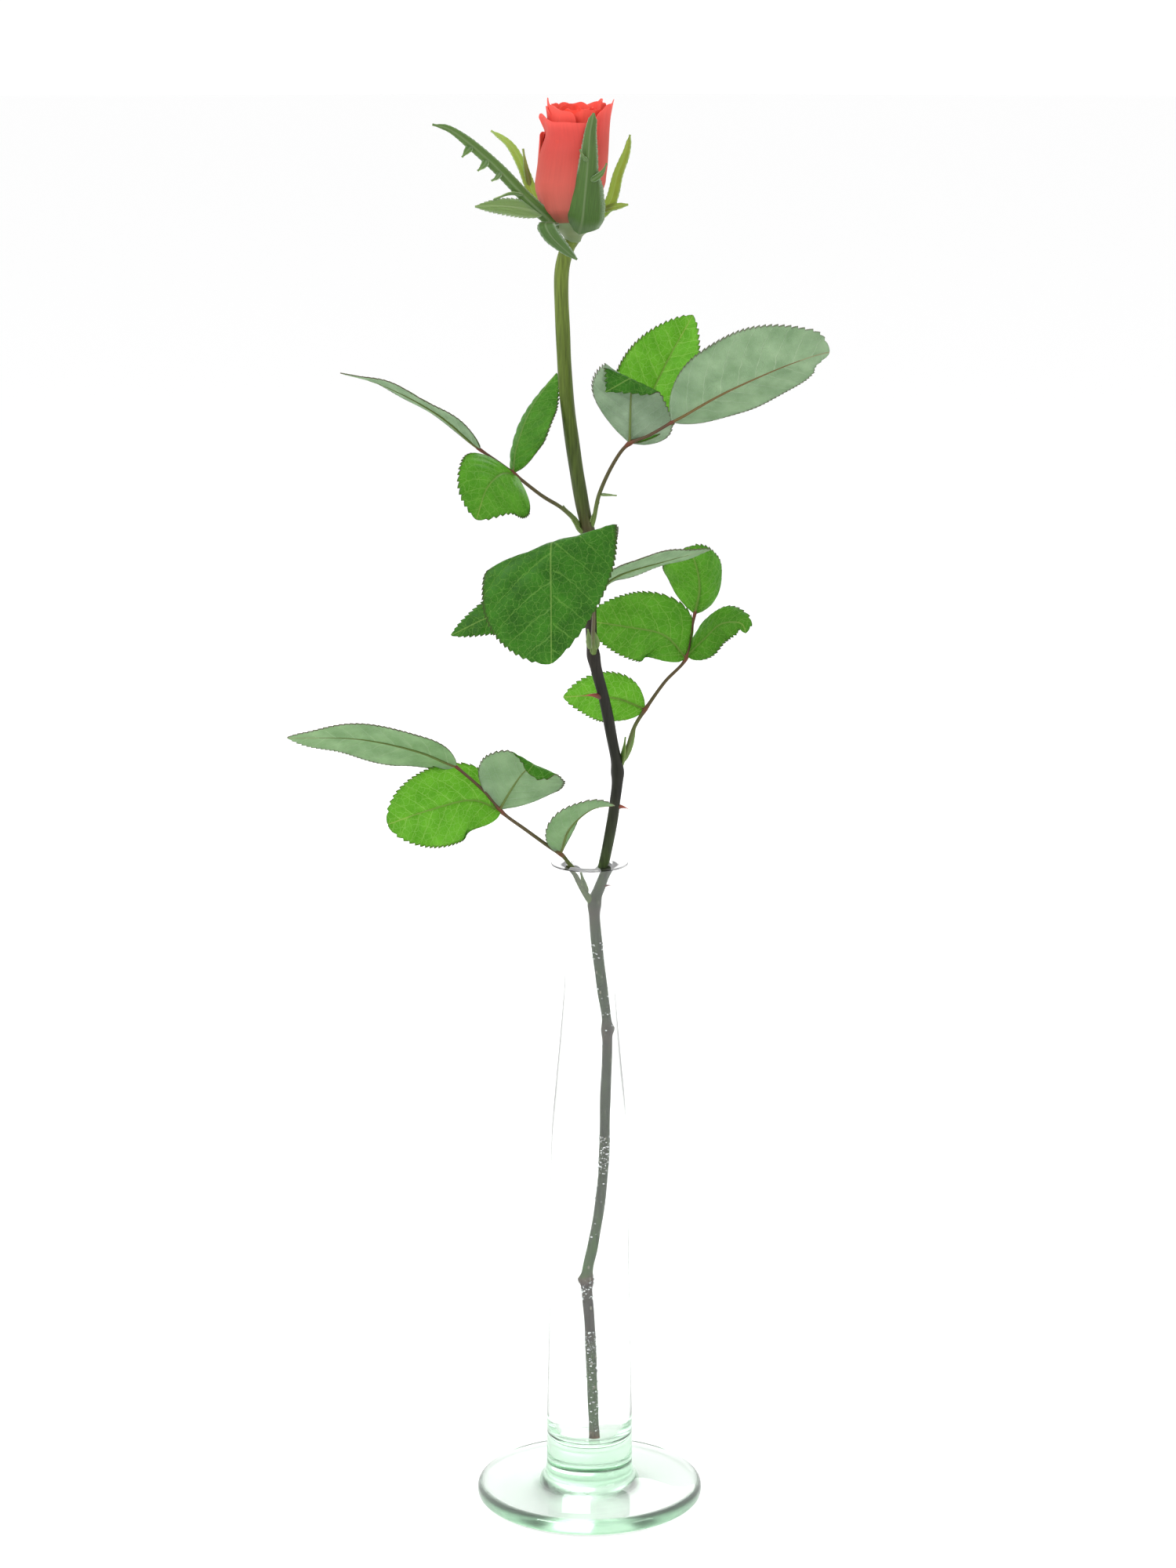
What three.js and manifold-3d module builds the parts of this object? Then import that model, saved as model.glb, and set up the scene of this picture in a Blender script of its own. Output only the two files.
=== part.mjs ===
// A cut rose standing in a blown-glass bud vase.
// Millimetres, +Z up. The origin is the centre of the foot's flat underside, and the viewer stands at -Y.
// The vase, the water and the stem are separate solids; each compound leaf is one solid, as it grew,
// and the flower is two: the green calyx with its five sepals, and the petals.
import * as THREE from 'three';
import { mergeVertices } from 'three/addons/utils/BufferGeometryUtils.js';
import Module from 'manifold-3d';

const wasm = await Module();
wasm.setup();

// ---------------------------------------------------------------- driving dimensions
const CLEARANCE = 0.3; // gap left between two pieces that touch
const LATHE_SIDES = 28;
const SMOOTHING = 0.02; // slivers smaller than this are dropped from the finished meshes

// The vase: one piece of glass, outside and inside as radius, height.
const FOOT_RADIUS = 41;
const VASE_HEIGHT = 236;
const LIP_RADIUS = 14.2;
const FLOOR_HEIGHT = 22; // inside floor, above the thick solid base
const VASE_OUTSIDE = [
  [0, 0], [FOOT_RADIUS - 2.6, 0], [FOOT_RADIUS - 0.5, 1.3], [FOOT_RADIUS, 3.1], [FOOT_RADIUS - 0.9, 5],
  [FOOT_RADIUS - 3.4, 6], [25, 6.9], [18.6, 8.6], [16.2, 12], [15.6, 20], [15.6, 32], [14.4, 77],
  [14.1, 133], [12.7, 151], [11.2, 167], [10.1, 179], [8.8, 195], [8.5, 210], [8.6, 226], [9.6, 231.5],
  [11.6, 234.4], [LIP_RADIUS, 235.2],
];
const VASE_INSIDE = [
  [LIP_RADIUS - 0.4, VASE_HEIGHT], [10.6, 235.5], [8.4, 233], [7.5, 229], [7.3, 210], [7.6, 195],
  [8.8, 179], [9.9, 167], [11.4, 151], [12.8, 133], [13, 77], [13.9, 32], [13, 25.5], [9, 22.8],
  [0, FLOOR_HEIGHT],
];
const WATER_LEVEL = 221;

// The stem, from its cut end on the floor of the vase to the neck of the flower.
const STEM_PATH = [
  [1.3, 0, 22.6], [0.2, 0.4, 62], [-0.8, 0.6, 80], [1, 0.4, 95], [2.8, 0, 113], [4, -0.4, 130],
  [4.4, -0.6, 151], [4.8, -0.8, 177], [3.4, -0.4, 192], [1.9, 0, 209], [1.4, 0.3, 223],
  [4.6, 0.9, 236], [7.2, 1.6, 249], [8.8, 2, 258], [9.9, 2.2, 270], [7.7, 1.6, 283], [5.2, 0.8, 296],
  [1.4, 0, 312], [0.3, 0.6, 328], [-0.3, 1.4, 344], [-0.6, 1.8, 355], [-2.7, 1.8, 366],
  [-5.4, 1.4, 383], [-8.1, 0.8, 404], [-9.2, 0.2, 426], [-9.6, -0.2, 444], [-7.8, -0.1, 453],
  [-5.6, 0, 457],
];
const STEM_RADIUS = [[22, 1.55], [60, 1.6], [215, 1.7], [236, 1.95], [312, 1.95], [350, 2.2], [372, 2.45], [457, 2.5]];
const STEM_NODES = [80, 177, 223, 270, 312, 355]; // heights where a leaf grows or grew, slightly swollen
const NODE_SWELLING = 0.45;
const NODE_LENGTH = 3;
const STEM_SIDES = 8;
const STEM_STEPS = 62;
const FLOOR_ROOM = 1; // the hole in the water goes this far past the cut end, through to the glass
const THORNS = [
  { from: [9, 2, 257.5], to: [14.6, 0.6, 256.6], root: 1.15 },
  { from: [4.9, 0.7, 297.5], to: [-3.4, -2.6, 298.4], root: 1.15 },
  { from: [3.6, 0.6, 229.5], to: [7, -0.6, 229.8], root: 0.6 },
];

// Leaf blades.
const BLADE_THICKNESS = 0.75;
const LEAFLET_TEETH = 7; // a side
const TOOTH_DEPTH = 0.65;
const TOOTH_REACH = 0.7; // how far along its own stretch a tooth comes to its point
const SMALLEST_HALF_WIDTH = 0.6;
const VEIN_SWEEP = 0.3; // the rows of a blade run forward as its side veins do
const ACROSS = [-1, -0.5, 0, 0.5, 1];
const PETIOLE_RADIUS = 0.75;
const PETIOLE_SIDES = 5;

// The flower.
const BUD_X = -5.7;
const BUD_BASE = 459.5;
const BUD_TOP = 504;
const PETAL_THICKNESS = 0.7;
// The bud's silhouette, as a share of its height and a radius.
const BUD_OUTLINE = [[0, 4.2], [0.06, 7.4], [0.16, 10.6], [0.36, 12.6], [0.6, 12.5], [0.85, 12.1], [1, 12.3]];
const PETAL_FOOT = 0.045; // share of the bud's height at which the petals leave the heart
const PETAL_LAYERS = [
  { count: 5, inset: 0, spread: 56, height: 0.97, start: -95, tuck: 1, flare: 1.1 },
  { count: 4, inset: 2.9, spread: 54, height: 0.99, start: -30, tuck: 0.8, flare: 0.4 },
  { count: 2, inset: 5.4, spread: 80, height: 0.95, start: 10, tuck: 0.7, flare: 0 },
];

// ---------------------------------------------------------------- small helpers
const degrees = THREE.MathUtils.degToRad;
const vector = (p) => new THREE.Vector3(...p);
const curveThrough = (points) => new THREE.CatmullRomCurve3(points.map(vector), false, 'catmullrom', 0.5);

// Reads a list of [place, value] pairs at any place, by straight lines between them.
function along(pairs, place) {
  const next = pairs.findIndex(([at]) => at >= place);
  if (next === 0) return pairs[0][1];
  if (next < 0) return pairs[pairs.length - 1][1];
  const [[a, from], [b, to]] = [pairs[next - 1], pairs[next]];
  return from + ((to - from) * (place - a)) / (b - a);
}

// A closed triangle mesh becomes a solid that can be joined and cut.
function solidFrom(geometry) {
  const bare = geometry.clone();
  bare.deleteAttribute('normal');
  bare.deleteAttribute('uv');
  const merged = mergeVertices(bare, 1e-4);
  const corners = merged.index.array;
  const kept = [];
  for (let i = 0; i < corners.length; i += 3) {
    const [a, b, c] = [corners[i], corners[i + 1], corners[i + 2]];
    if (a !== b && b !== c && c !== a) kept.push(a, b, c);
  }
  const build = (faces) => new wasm.Manifold(new wasm.Mesh({
    numProp: 3,
    vertProperties: merged.attributes.position.array,
    triVerts: new Uint32Array(faces),
  }));
  const solid = build(kept);
  if (solid.volume() > 0) return solid;
  for (let i = 0; i < kept.length; i += 3) [kept[i + 1], kept[i + 2]] = [kept[i + 2], kept[i + 1]];
  return build(kept);
}

const joined = (solids) => solids.reduce((sum, solid) => sum.add(solid));

// Cutting can leave a loose crumb; only the piece itself is kept.
function largestPiece(solid) {
  return solid.decompose().reduce((best, piece) => (piece.volume() > best.volume() ? piece : best));
}

// A mesh from a list of points and a list of three-cornered faces.
function geometryOf(points, faces) {
  const geometry = new THREE.BufferGeometry();
  geometry.setAttribute('position', new THREE.Float32BufferAttribute(points.flatMap((p) => p.toArray()), 3));
  geometry.setIndex(faces.flat());
  return geometry;
}

// A solid turned on a lathe, from an outline of [radius, height] that starts and ends on the axis.
function turned(outline, x = 0) {
  const profile = outline.map(([radius, height]) => new THREE.Vector2(radius, height));
  return solidFrom(new THREE.LatheGeometry(profile, LATHE_SIDES).rotateX(Math.PI / 2).translate(x, 0, 0));
}

// A closed round bar along a curve; radiusAt(point) gives its radius on the way.
function roundBar(curve, radiusAt, sides, steps) {
  const frames = curve.computeFrenetFrames(steps, false);
  const points = [];
  const faces = [];
  for (let i = 0; i <= steps; i++) {
    const centre = curve.getPointAt(i / steps);
    const radius = radiusAt(centre, i / steps);
    for (let k = 0; k < sides; k++) {
      const turn = (2 * Math.PI * k) / sides;
      points.push(centre.clone()
        .addScaledVector(frames.normals[i], radius * Math.cos(turn))
        .addScaledVector(frames.binormals[i], radius * Math.sin(turn)));
      const [a, b] = [i * sides + k, i * sides + ((k + 1) % sides)];
      if (i < steps) faces.push([a, b, b + sides], [a, b + sides, a + sides]);
    }
  }
  const [first, last] = [points.push(curve.getPointAt(0)) - 1, points.push(curve.getPointAt(1)) - 1];
  for (let k = 0; k < sides; k++) {
    const next = (k + 1) % sides;
    faces.push([first, next, k], [last, steps * sides + k, steps * sides + next]);
  }
  return solidFrom(geometryOf(points, faces));
}

// A slab from a grid of mid-surface points: both faces are split into triangles alike.
function slab(rows, thickness) {
  const [count, width] = [rows.length, rows[0].length];
  const normals = rows.map((row, i) => row.map((point, j) => {
    const forward = rows[Math.min(i + 1, count - 1)][j].clone().sub(rows[Math.max(i - 1, 0)][j]);
    const sideways = row[Math.min(j + 1, width - 1)].clone().sub(row[Math.max(j - 1, 0)]);
    return sideways.cross(forward).normalize();
  }));
  const offset = (amount) => rows.flatMap((row, i) =>
    row.map((point, j) => point.clone().addScaledVector(normals[i][j], amount)));
  const points = [...offset(thickness / 2), ...offset(-thickness / 2)];
  const below = count * width;
  const faces = [];
  const wall = (a, b) => faces.push([a, b, b + below], [a, b + below, a + below]);
  for (let i = 0; i + 1 < count; i++) {
    for (let j = 0; j + 1 < width; j++) {
      const [a, b] = [i * width + j, i * width + j + 1];
      const [d, c] = [a + width, b + width];
      const pair = j < (width - 1) / 2 ? [[a, b, d], [b, c, d]] : [[a, b, c], [a, c, d]];
      pair.forEach((face) => faces.push(face, face.map((corner) => corner + below).reverse()));
    }
    wall(i * width, (i + 1) * width);
    wall((i + 1) * width + width - 1, i * width + width - 1);
  }
  for (let j = 0; j + 1 < width; j++) {
    wall(j + 1, j);
    wall((count - 1) * width + j, (count - 1) * width + j + 1);
  }
  return solidFrom(geometryOf(points, faces));
}

// ---------------------------------------------------------------- leaves
// How wide a blade is at a place from 0 at its base to 1 at its tip, as a share of its widest.
const shapeOf = (base, tip) => {
  const peak = base / (base + tip);
  const top = peak ** base * (1 - peak) ** tip;
  return (s) => (s ** base * (1 - s) ** tip) / top;
};
const OVATE = shapeOf(0.5, 0.8); // a leaflet: rounded at the base, pointed at the tip
const LANCE = shapeOf(0.32, 1.15); // a sepal or stipule: widest low down, drawn out to a point

// A blade along its midrib. `up` is the way its upper face looks at the base, `left` and `right` are the
// half-widths seen from above with the tip forward, `fold` turns each half up from the midrib, `roll`
// turns it on towards the margin, `twist` turns the tip about the midrib, and `slant` draws each half
// towards the tip (above 0) or the base (below 0).
function blade({ rib, up, left, right, fold = [0, 0], roll = [0, 0], twist = 0, slant = [0, 0], outline = OVATE,
  teeth = LEAFLET_TEETH, bite = TOOTH_DEPTH }) {
  const curve = curveThrough(rib);
  const places = [];
  for (let i = 0; i < teeth; i++) places.push([i / teeth, -1], [(i + TOOTH_REACH) / teeth, 1]);
  places.push([1, 0]);
  const normal = vector(up);
  const rows = places.map(([s, edge]) => {
    const centre = curve.getPointAt(s);
    const forward = curve.getTangentAt(s);
    normal.addScaledVector(forward, -normal.dot(forward)).normalize();
    const raised = normal.clone().applyAxisAngle(forward, degrees(twist) * s);
    const sideways = forward.clone().cross(raised);
    return ACROSS.map((v) => {
      const half = v < 0 ? 0 : 1;
      const widest = v < 0 ? left : right;
      const toothed = widest * outline(s) + edge * bite * Math.min(1, 4 * s);
      const reach = Math.max(SMALLEST_HALF_WIDTH, toothed);
      const [start, bend] = [degrees(fold[half]), degrees(roll[half]) + 1e-6];
      const turn = start + bend * Math.abs(v);
      const out = (reach * (Math.sin(turn) - Math.sin(start))) / bend;
      const rise = (reach * (Math.cos(start) - Math.cos(turn))) / bend;
      return centre.clone()
        .addScaledVector(forward, (VEIN_SWEEP * (1 - s) + slant[half]) * out)
        .addScaledVector(sideways, Math.sign(v) * out)
        .addScaledVector(raised, rise);
    });
  });
  return slab(rows, BLADE_THICKNESS);
}

const twig = (points) =>
  roundBar(curveThrough(points), () => PETIOLE_RADIUS, PETIOLE_SIDES, 2 * points.length);

// The place on a leaf's stalk that lies nearest to where a blade starts, so that the blade's root is sunk in it.
function nearestOn(stalk, start) {
  const from = vector(start);
  return curveThrough(stalk).getSpacedPoints(80)
    .reduce((best, point) => (point.distanceTo(from) < best.distanceTo(from) ? point : best)).toArray();
}

const stipule = ({ rib, up, width }) =>
  blade({ rib, up, left: width, right: width, outline: LANCE, teeth: 2, bite: 0 });

// Each leaf: its stalk from inside the stem, short side stalks, stipules at the foot and its leaflets.
const LEAVES = {
  leaf_top_right: {
    stalk: [[-0.6, 1.8, 355.5], [1.4, 0.6, 360], [3.4, -3, 369.5], [8.1, -8, 380.5], [13.1, -12, 387.7],
      [20.3, -15, 391.2], [29.2, -18, 396.8]],
    stipules: [
      { rib: [[3.2, -2.8, 369.2], [6, -3.4, 369.2], [9.4, -4, 369]], up: [0, -0.3, 1], width: 1 },
      { rib: [[0.6, 1, 357.5], [1.6, 0.2, 361.5], [3.2, -1.4, 366.4]], up: [0.6, -0.6, 0.2], width: 1.2 },
    ],
    leaflets: [
      { rib: [[28.2, -18, 396.2], [44.5, -25, 407.7], [65, -31, 419.5], [80.5, -33, 424.6]], up: [-0.24, 0.88, 0.4],
        left: 17, right: 18.5, fold: [26, 24], roll: [6, 8] },
      { rib: [[13.4, -12, 389], [13.9, -15.5, 400.6], [14.4, -18, 409.4], [13.6, -20.4, 412],
        [12, -22.8, 410.4], [8.6, -24, 406.8]],
        up: [-0.1, 1, 0.25], left: 14, right: 13, slant: [-0.35, 0.2], fold: [-4, -4] },
      { rib: [[13.7, -11, 388.9], [19.6, -6, 401], [27.7, -1, 417], [35.5, 3, 430.4]], up: [0.35, -0.95, 0.2],
        left: 15, right: 14, fold: [6, 30], roll: [-8, 10] },
    ],
  },
  leaf_top_left: {
    stalk: [[-0.6, 1.8, 354.6], [-3.6, 0.2, 356.6], [-5.6, -1, 360.4], [-10, -3, 364.8], [-16.8, -5.4, 369.4],
      [-26.2, -8, 377.2], [-31.2, -9, 381.1], [-38.6, -10, 386.4]],
    stipules: [
      { rib: [[-2.6, 0.8, 355.4], [-5.4, -0.8, 360.2], [-9.2, -2.4, 365.2]], up: [0.5, -0.6, 0.6], width: 1.6 },
    ],
    leaflets: [
      { rib: [[-37.9, -10, 385.6], [-51.4, -12.6, 398], [-69.3, -15.6, 408], [-84.6, -18, 412.8]],
        up: [0.42, 0.16, 0.9], left: 12.5, right: 12.5, fold: [26, -14], twist: -24 },
      { rib: [[-26.2, -8, 377.7], [-25, -5, 386], [-20, 1, 398.6], [-11.4, 7.6, 410]], up: [-0.62, -0.78, 0.2],
        left: 10.5, right: 11, fold: [-26, -8], roll: [-34, 0] },
      { rib: [[-26, -8.6, 376.6], [-30.4, -20, 378.4], [-35, -30, 374.6], [-38.2, -36.4, 365.4]],
        up: [0.4, -0.6, 0.7], left: 16, right: 11.5, fold: [2, 2], roll: [-12, -14] },
    ],
  },
  leaf_front: {
    stalk: [[1.4, 0, 312.4], [1.3, -5, 316], [0.2, -12, 324], [-3.4, -22, 336], [-7.4, -31, 344.8],
      [-10.4, -38.6, 350.6]],
    stipules: [
      { rib: [[1.2, -1.6, 313], [0.2, -4.6, 317.6], [-0.6, -7.6, 322.8]], up: [-0.5, -0.8, 0.2], width: 2 },
      { rib: [[1.6, -1.6, 313], [2, -4.6, 317.6], [1.4, -7.6, 322.8]], up: [0.5, -0.8, 0.2], width: 2 },
    ],
    leaflets: [
      { rib: [[-10, -37.6, 350], [-11.6, -47, 356.4], [-12.2, -56, 353.4], [-12.4, -61, 341], [-12.6, -61.6, 320.4]],
        up: [-0.42, 0.45, 0.8], left: 22, right: 22.5, slant: [-0.42, 0.1], fold: [-4, -4], roll: [-6, -6] },
      { rib: [[-7.6, -31.4, 345], [-20, -35, 346.6], [-34, -40, 340.6], [-46.8, -43, 329.6]], up: [-0.2, -0.1, 0.97],
        left: 10, right: 10, fold: [-10, 0], roll: [-20, -8] },
      { rib: [[-7, -31.2, 345.2], [8, -29.4, 350], [25.4, -26, 350.6], [41.4, -22, 353.4]], up: [0, 0.45, 0.89],
        left: 10.5, right: 10.5, fold: [12, 4] },
    ],
  },
  leaf_right: {
    stalk: [[9.9, 2.2, 270.4], [12.8, 3, 276.8], [15.7, 5, 285.4], [19.6, 7, 291.5], [26.5, 9, 301],
      [33.7, 11, 308.5], [35.4, 12, 316.7], [37.2, 13, 325.4]],
    stipules: [
      { rib: [[11.4, 2, 272], [12, 1.6, 277.6], [12.6, 1.6, 282.8]], up: [-0.8, -0.6, 0], width: 1.3 },
      { rib: [[11.8, 3, 272.6], [14.4, 4, 279.6], [16.4, 5.2, 286.6]], up: [0.6, -0.7, 0.2], width: 1.5 },
    ],
    leaflets: [
      { rib: [[37, 13, 325], [38.6, 12, 333], [37.6, 8, 341.6], [34.6, 3, 350]], up: [-0.3, -0.9, 0.3],
        left: 14, right: 12, fold: [0, -40], roll: [-6, -60] },
      { rib: [[33.2, 11, 309.4], [26, 9, 317.8], [12.5, 10, 320.6], [-2.6, 12, 322.6]], up: [0.1, -0.95, 0.25],
        left: 11.5, right: 13.5, fold: [4, 0], roll: [-14, -10] },
      { rib: [[35, 11, 309.4], [40.4, 7, 316.8], [46, 3.6, 322.6], [52.6, 0, 323.6], [54.6, -1.4, 320.4]],
        up: [-0.5, -0.66, 0.5], left: 12.5, right: 9, fold: [-8, -12], roll: [-30, 0] },
      { rib: [[19, 7, 292.2], [10.5, 9, 294.8], [0.8, 11, 295.6], [-9.3, 12, 295]], up: [0, -0.98, 0.2],
        left: 9, right: 9, fold: [6, 6] },
    ],
  },
  leaf_lower_left: {
    stalk: [[1.2, 0.2, 224], [-0.8, -1, 228.2], [-3.4, -2, 233], [-6.2, -2.4, 238], [-9.7, -4, 242.6],
      [-14.3, -6, 247.1], [-22.5, -9, 253.8], [-30.7, -12, 259.5], [-37.4, -14, 267.3], [-47, -16, 276.4]],
    stipules: [
      { rib: [[-0.4, -1.2, 226.6], [-1.8, -1.8, 231], [-2.6, -2.2, 235.4]], up: [0.4, -0.9, 0], width: 1.1 },
    ],
    leaflets: [
      { rib: [[-46.2, -16, 275.8], [-60.2, -20, 282.4], [-80.3, -24, 287.4], [-104, -27, 288.4]],
        up: [0.1, 0.85, 0.5], left: 13, right: 13.5, fold: [-20, 14] },
      { rib: [[-31.2, -12.4, 259], [-41, -17, 264], [-55, -20, 261.4], [-70, -22, 256.6]], up: [-0.1, -0.8, 0.6],
        left: 14.5, right: 14.5, fold: [4, 4], roll: [-8, -8] },
      { rib: [[-30.4, -12, 260.4], [-27.6, -14, 266.8], [-23.6, -16.6, 273.2], [-20, -19.6, 277.2],
        [-19.6, -22, 277.6], [-21.4, -24, 275.6]],
        up: [0.05, 0.96, 0.28], left: 14.5, right: 14.5, slant: [0.4, 0], fold: [-4, -4] },
      { rib: [[-9.8, -4.4, 243], [-7.2, -9, 252], [0.4, -11.4, 259.4], [8.8, -12.4, 261.2]], up: [-0.4, 0.3, 0.86],
        left: 7.5, right: 7.5, fold: [34, 34] },
    ],
  },
};

function leafSolid({ stalk, stipules, leaflets }) {
  const rooted = (spec) => ({ ...spec, rib: [nearestOn(stalk, spec.rib[0]), ...spec.rib.slice(1)] });
  return joined([twig(stalk), ...stipules.map(rooted).map(stipule), ...leaflets.map(rooted).map(blade)]);
}

// ---------------------------------------------------------------- stem
const stemCurve = curveThrough(STEM_PATH);
stemCurve.arcLengthDivisions = 600;

// The stem's bar, wider all round by `extra`.
function stemBar(extra) {
  const radiusAt = ({ z }) => extra + along(STEM_RADIUS, z)
    + STEM_NODES.reduce((sum, at) => sum + NODE_SWELLING * Math.exp(-(((z - at) / NODE_LENGTH) ** 2)), 0);
  return roundBar(stemCurve, radiusAt, STEM_SIDES, STEM_STEPS);
}

// The room that the stem needs in its neighbours: wider all round, and longer at both ends.
function stemRoom() {
  const beyond = (t, length, radius) => {
    const [end, way] = [stemCurve.getPointAt(t), stemCurve.getTangentAt(t)];
    const line = new THREE.LineCurve3(end.clone().addScaledVector(way, -length), end.clone().addScaledVector(way, length));
    return roundBar(line, () => radius + CLEARANCE, STEM_SIDES, 1);
  };
  const [foot, neck] = [STEM_RADIUS.at(0)[1], STEM_RADIUS.at(-1)[1]];
  return joined([stemBar(CLEARANCE), beyond(0, FLOOR_ROOM, foot), beyond(1, CLEARANCE, neck)]);
}

function thorn({ from, to, root }) {
  const [start, end] = [vector(from), vector(to)];
  const middle = start.clone().lerp(end, 0.6).add(new THREE.Vector3(0, 0, 0.6 * root));
  const curve = new THREE.QuadraticBezierCurve3(start, middle, end);
  return roundBar(curve, (_, t) => Math.max(0.12, root * (1 - t) ** 1.3), 5, 5);
}

// ---------------------------------------------------------------- flower
const SEPALS = [
  { rib: [[-4, -8, 460.6], [-2.4, -13.4, 469], [-0.6, -14.8, 483], [0.4, -13.8, 499.5]], up: [0.1, 1, 0.3],
    left: 6.4, right: 6.4, fold: [16, 16], teeth: 4, bite: 0.9 },
  { rib: [[-11.6, -5, 461.6], [-19.6, -6.6, 469], [-36, -10, 484.4], [-52.6, -14, 496]], up: [0.5, 0.75, 0.45],
    left: 4.6, right: 4.6, fold: [20, 20], teeth: 5, bite: 0.9 },
  { rib: [[-12.6, 5, 462], [-18.6, 8.4, 470], [-26, 10, 484], [-33.8, 12, 492.5]], up: [0.8, -0.5, 0.2],
    left: 4.6, right: 4.6, fold: [14, 14], teeth: 4, bite: 0.5 },
  { rib: [[-1, 4, 461.6], [6.6, 6.4, 468], [10.2, 7.4, 480], [13.6, 8, 491]], up: [-0.9, -0.2, 0.4],
    left: 4.6, right: 4.6, fold: [14, 14], teeth: 4, bite: 0.5 },
  { rib: [[-10, -6, 463], [-13, -11, 462.6], [-11, -14, 458], [-4.4, -14.6, 451.4]], up: [-0.3, -0.95, 0.1],
    left: 4.2, right: 4.2, fold: [8, 8], teeth: 3, bite: 0.4 },
];
// Leafy tips that grow from the sides of two sepals.
const SEPAL_SIDE_LEAVES = [
  { rib: [[-15.4, -5.6, 465.4], [-24, -8, 467.4], [-31, -9.6, 468.6], [-39.2, -10, 468.6]], up: [0, -0.85, 0.5],
    left: 4, right: 3.6, teeth: 4, bite: 0.4 },
  { rib: [[3.8, 5.4, 465], [8, 4.6, 467], [12.8, 4, 467.6]], up: [0, -0.5, 0.85], left: 2, right: 2, teeth: 3, bite: 0.3 },
];
const CALYX_CUP = [
  [0, 455.4], [3.1, 455.4], [3.9, 457], [5.8, 458.8], [8, 460.4], [9.4, 462.2], [9.4, 463.2], [0, 463.2],
];

const budRadius = (share) => along(BUD_OUTLINE, share);
const budHeight = (share) => BUD_BASE + (BUD_TOP - BUD_BASE) * share;

// One petal: it rises round the bud's axis, one side tucked inside its neighbour, its top drawn to a point.
function petal({ turn, spread, inset, height, tuck, flare }) {
  const rows = [0, 0.14, 0.34, 0.6, 0.84, 1].map((t) => ACROSS.map((u) => {
    const share = PETAL_FOOT + (height - PETAL_FOOT) * t * (1 - 0.1 * Math.abs(u) ** 1.6 * t);
    const narrowing = 0.6 + 0.4 * Math.sin(Math.PI * Math.min(1, 0.25 + t * 0.6));
    const angle = degrees(turn + spread * u * narrowing);
    const lip = flare * Math.max(0, (t - 0.8) / 0.2) ** 2;
    const body = budRadius(share) - PETAL_THICKNESS - 0.9 - inset * Math.min(1, 0.35 + 1.6 * t);
    const radius = Math.max(1.2, body + tuck * u * Math.min(1, 3 * t) + lip);
    return new THREE.Vector3(BUD_X + radius * Math.cos(angle), radius * Math.sin(angle), budHeight(share));
  }));
  return slab(rows, PETAL_THICKNESS);
}

function petalsSolid() {
  const heart = turned([[0, 460.6], [3.6, 460.6], [6.2, 463], [6.6, 470], [5.4, 482], [3, 494], [0, 499]], BUD_X);
  const petals = PETAL_LAYERS.flatMap((layer) => Array.from({ length: layer.count }, (_, k) =>
    petal({ ...layer, turn: layer.start + (360 * k) / layer.count })));
  return joined([heart, ...petals]);
}

// The space that the petals fill, kept free of the calyx.
function budSpace() {
  const side = BUD_OUTLINE.map(([share, radius]) => [radius + CLEARANCE, budHeight(share)]);
  return turned([[0, BUD_BASE], ...side, [0, BUD_TOP]], BUD_X);
}

const sepal = (spec) => blade({ outline: LANCE, ...spec });

function calyxSolid() {
  const cup = turned(CALYX_CUP, BUD_X);
  const sideLeaves = SEPAL_SIDE_LEAVES.map((spec) => blade(spec));
  return joined([cup, ...SEPALS.map(sepal), ...sideLeaves]);
}

// ---------------------------------------------------------------- vase and water
const vaseSolid = () => turned([...VASE_OUTSIDE, ...VASE_INSIDE]);

// The water fills the vase to its level and lies close to the glass all round.
function waterSolid() {
  const wetted = VASE_INSIDE.filter(([, height]) => height < WATER_LEVEL)
    .map(([radius, height]) => [Math.max(0, radius - CLEARANCE), height + CLEARANCE]);
  const surface = along([...VASE_INSIDE].reverse().map(([radius, height]) => [height, radius]), WATER_LEVEL) - CLEARANCE;
  return turned([[0, WATER_LEVEL], [surface, WATER_LEVEL], ...wetted]);
}

// ---------------------------------------------------------------- the whole
const FINISHES = {
  glass: { color: '#e6f2ec', roughness: 0.03, metalness: 0, transparent: true, opacity: 0.35 },
  water: { color: '#f4faf8', roughness: 0, metalness: 0, transparent: true, opacity: 0.3 },
  stem: { color: '#5c6a38', roughness: 0.6, metalness: 0 },
  leaf: { color: '#3e8a20', roughness: 0.5, metalness: 0 },
  calyx: { color: '#5f9440', roughness: 0.6, metalness: 0 },
  petals: { color: '#ee5547', roughness: 0.55, metalness: 0 },
};

const group = new THREE.Group();
group.name = 'rose_in_bud_vase';

function addPiece(name, solid, finish) {
  const { vertProperties, triVerts } = solid.simplify(SMOOTHING).getMesh();
  const geometry = new THREE.BufferGeometry();
  geometry.setAttribute('position', new THREE.BufferAttribute(new Float32Array(vertProperties), 3));
  geometry.setIndex(new THREE.BufferAttribute(new Uint32Array(triVerts), 1));
  geometry.computeVertexNormals();
  const mesh = new THREE.Mesh(geometry, new THREE.MeshStandardMaterial(FINISHES[finish]));
  mesh.name = name;
  group.add(mesh);
}

const roomForStem = stemRoom();
addPiece('vase_glass', vaseSolid(), 'glass');
addPiece('water', waterSolid().subtract(roomForStem), 'water');
addPiece('stem', joined([stemBar(0), ...THORNS.map(thorn)]), 'stem');
for (const [name, leaf] of Object.entries(LEAVES)) {
  addPiece(name, largestPiece(leafSolid(leaf).subtract(roomForStem)), 'leaf');
}
addPiece('calyx', largestPiece(calyxSolid().subtract(budSpace()).subtract(roomForStem)), 'calyx');
addPiece('petals', petalsSolid(), 'petals');

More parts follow.
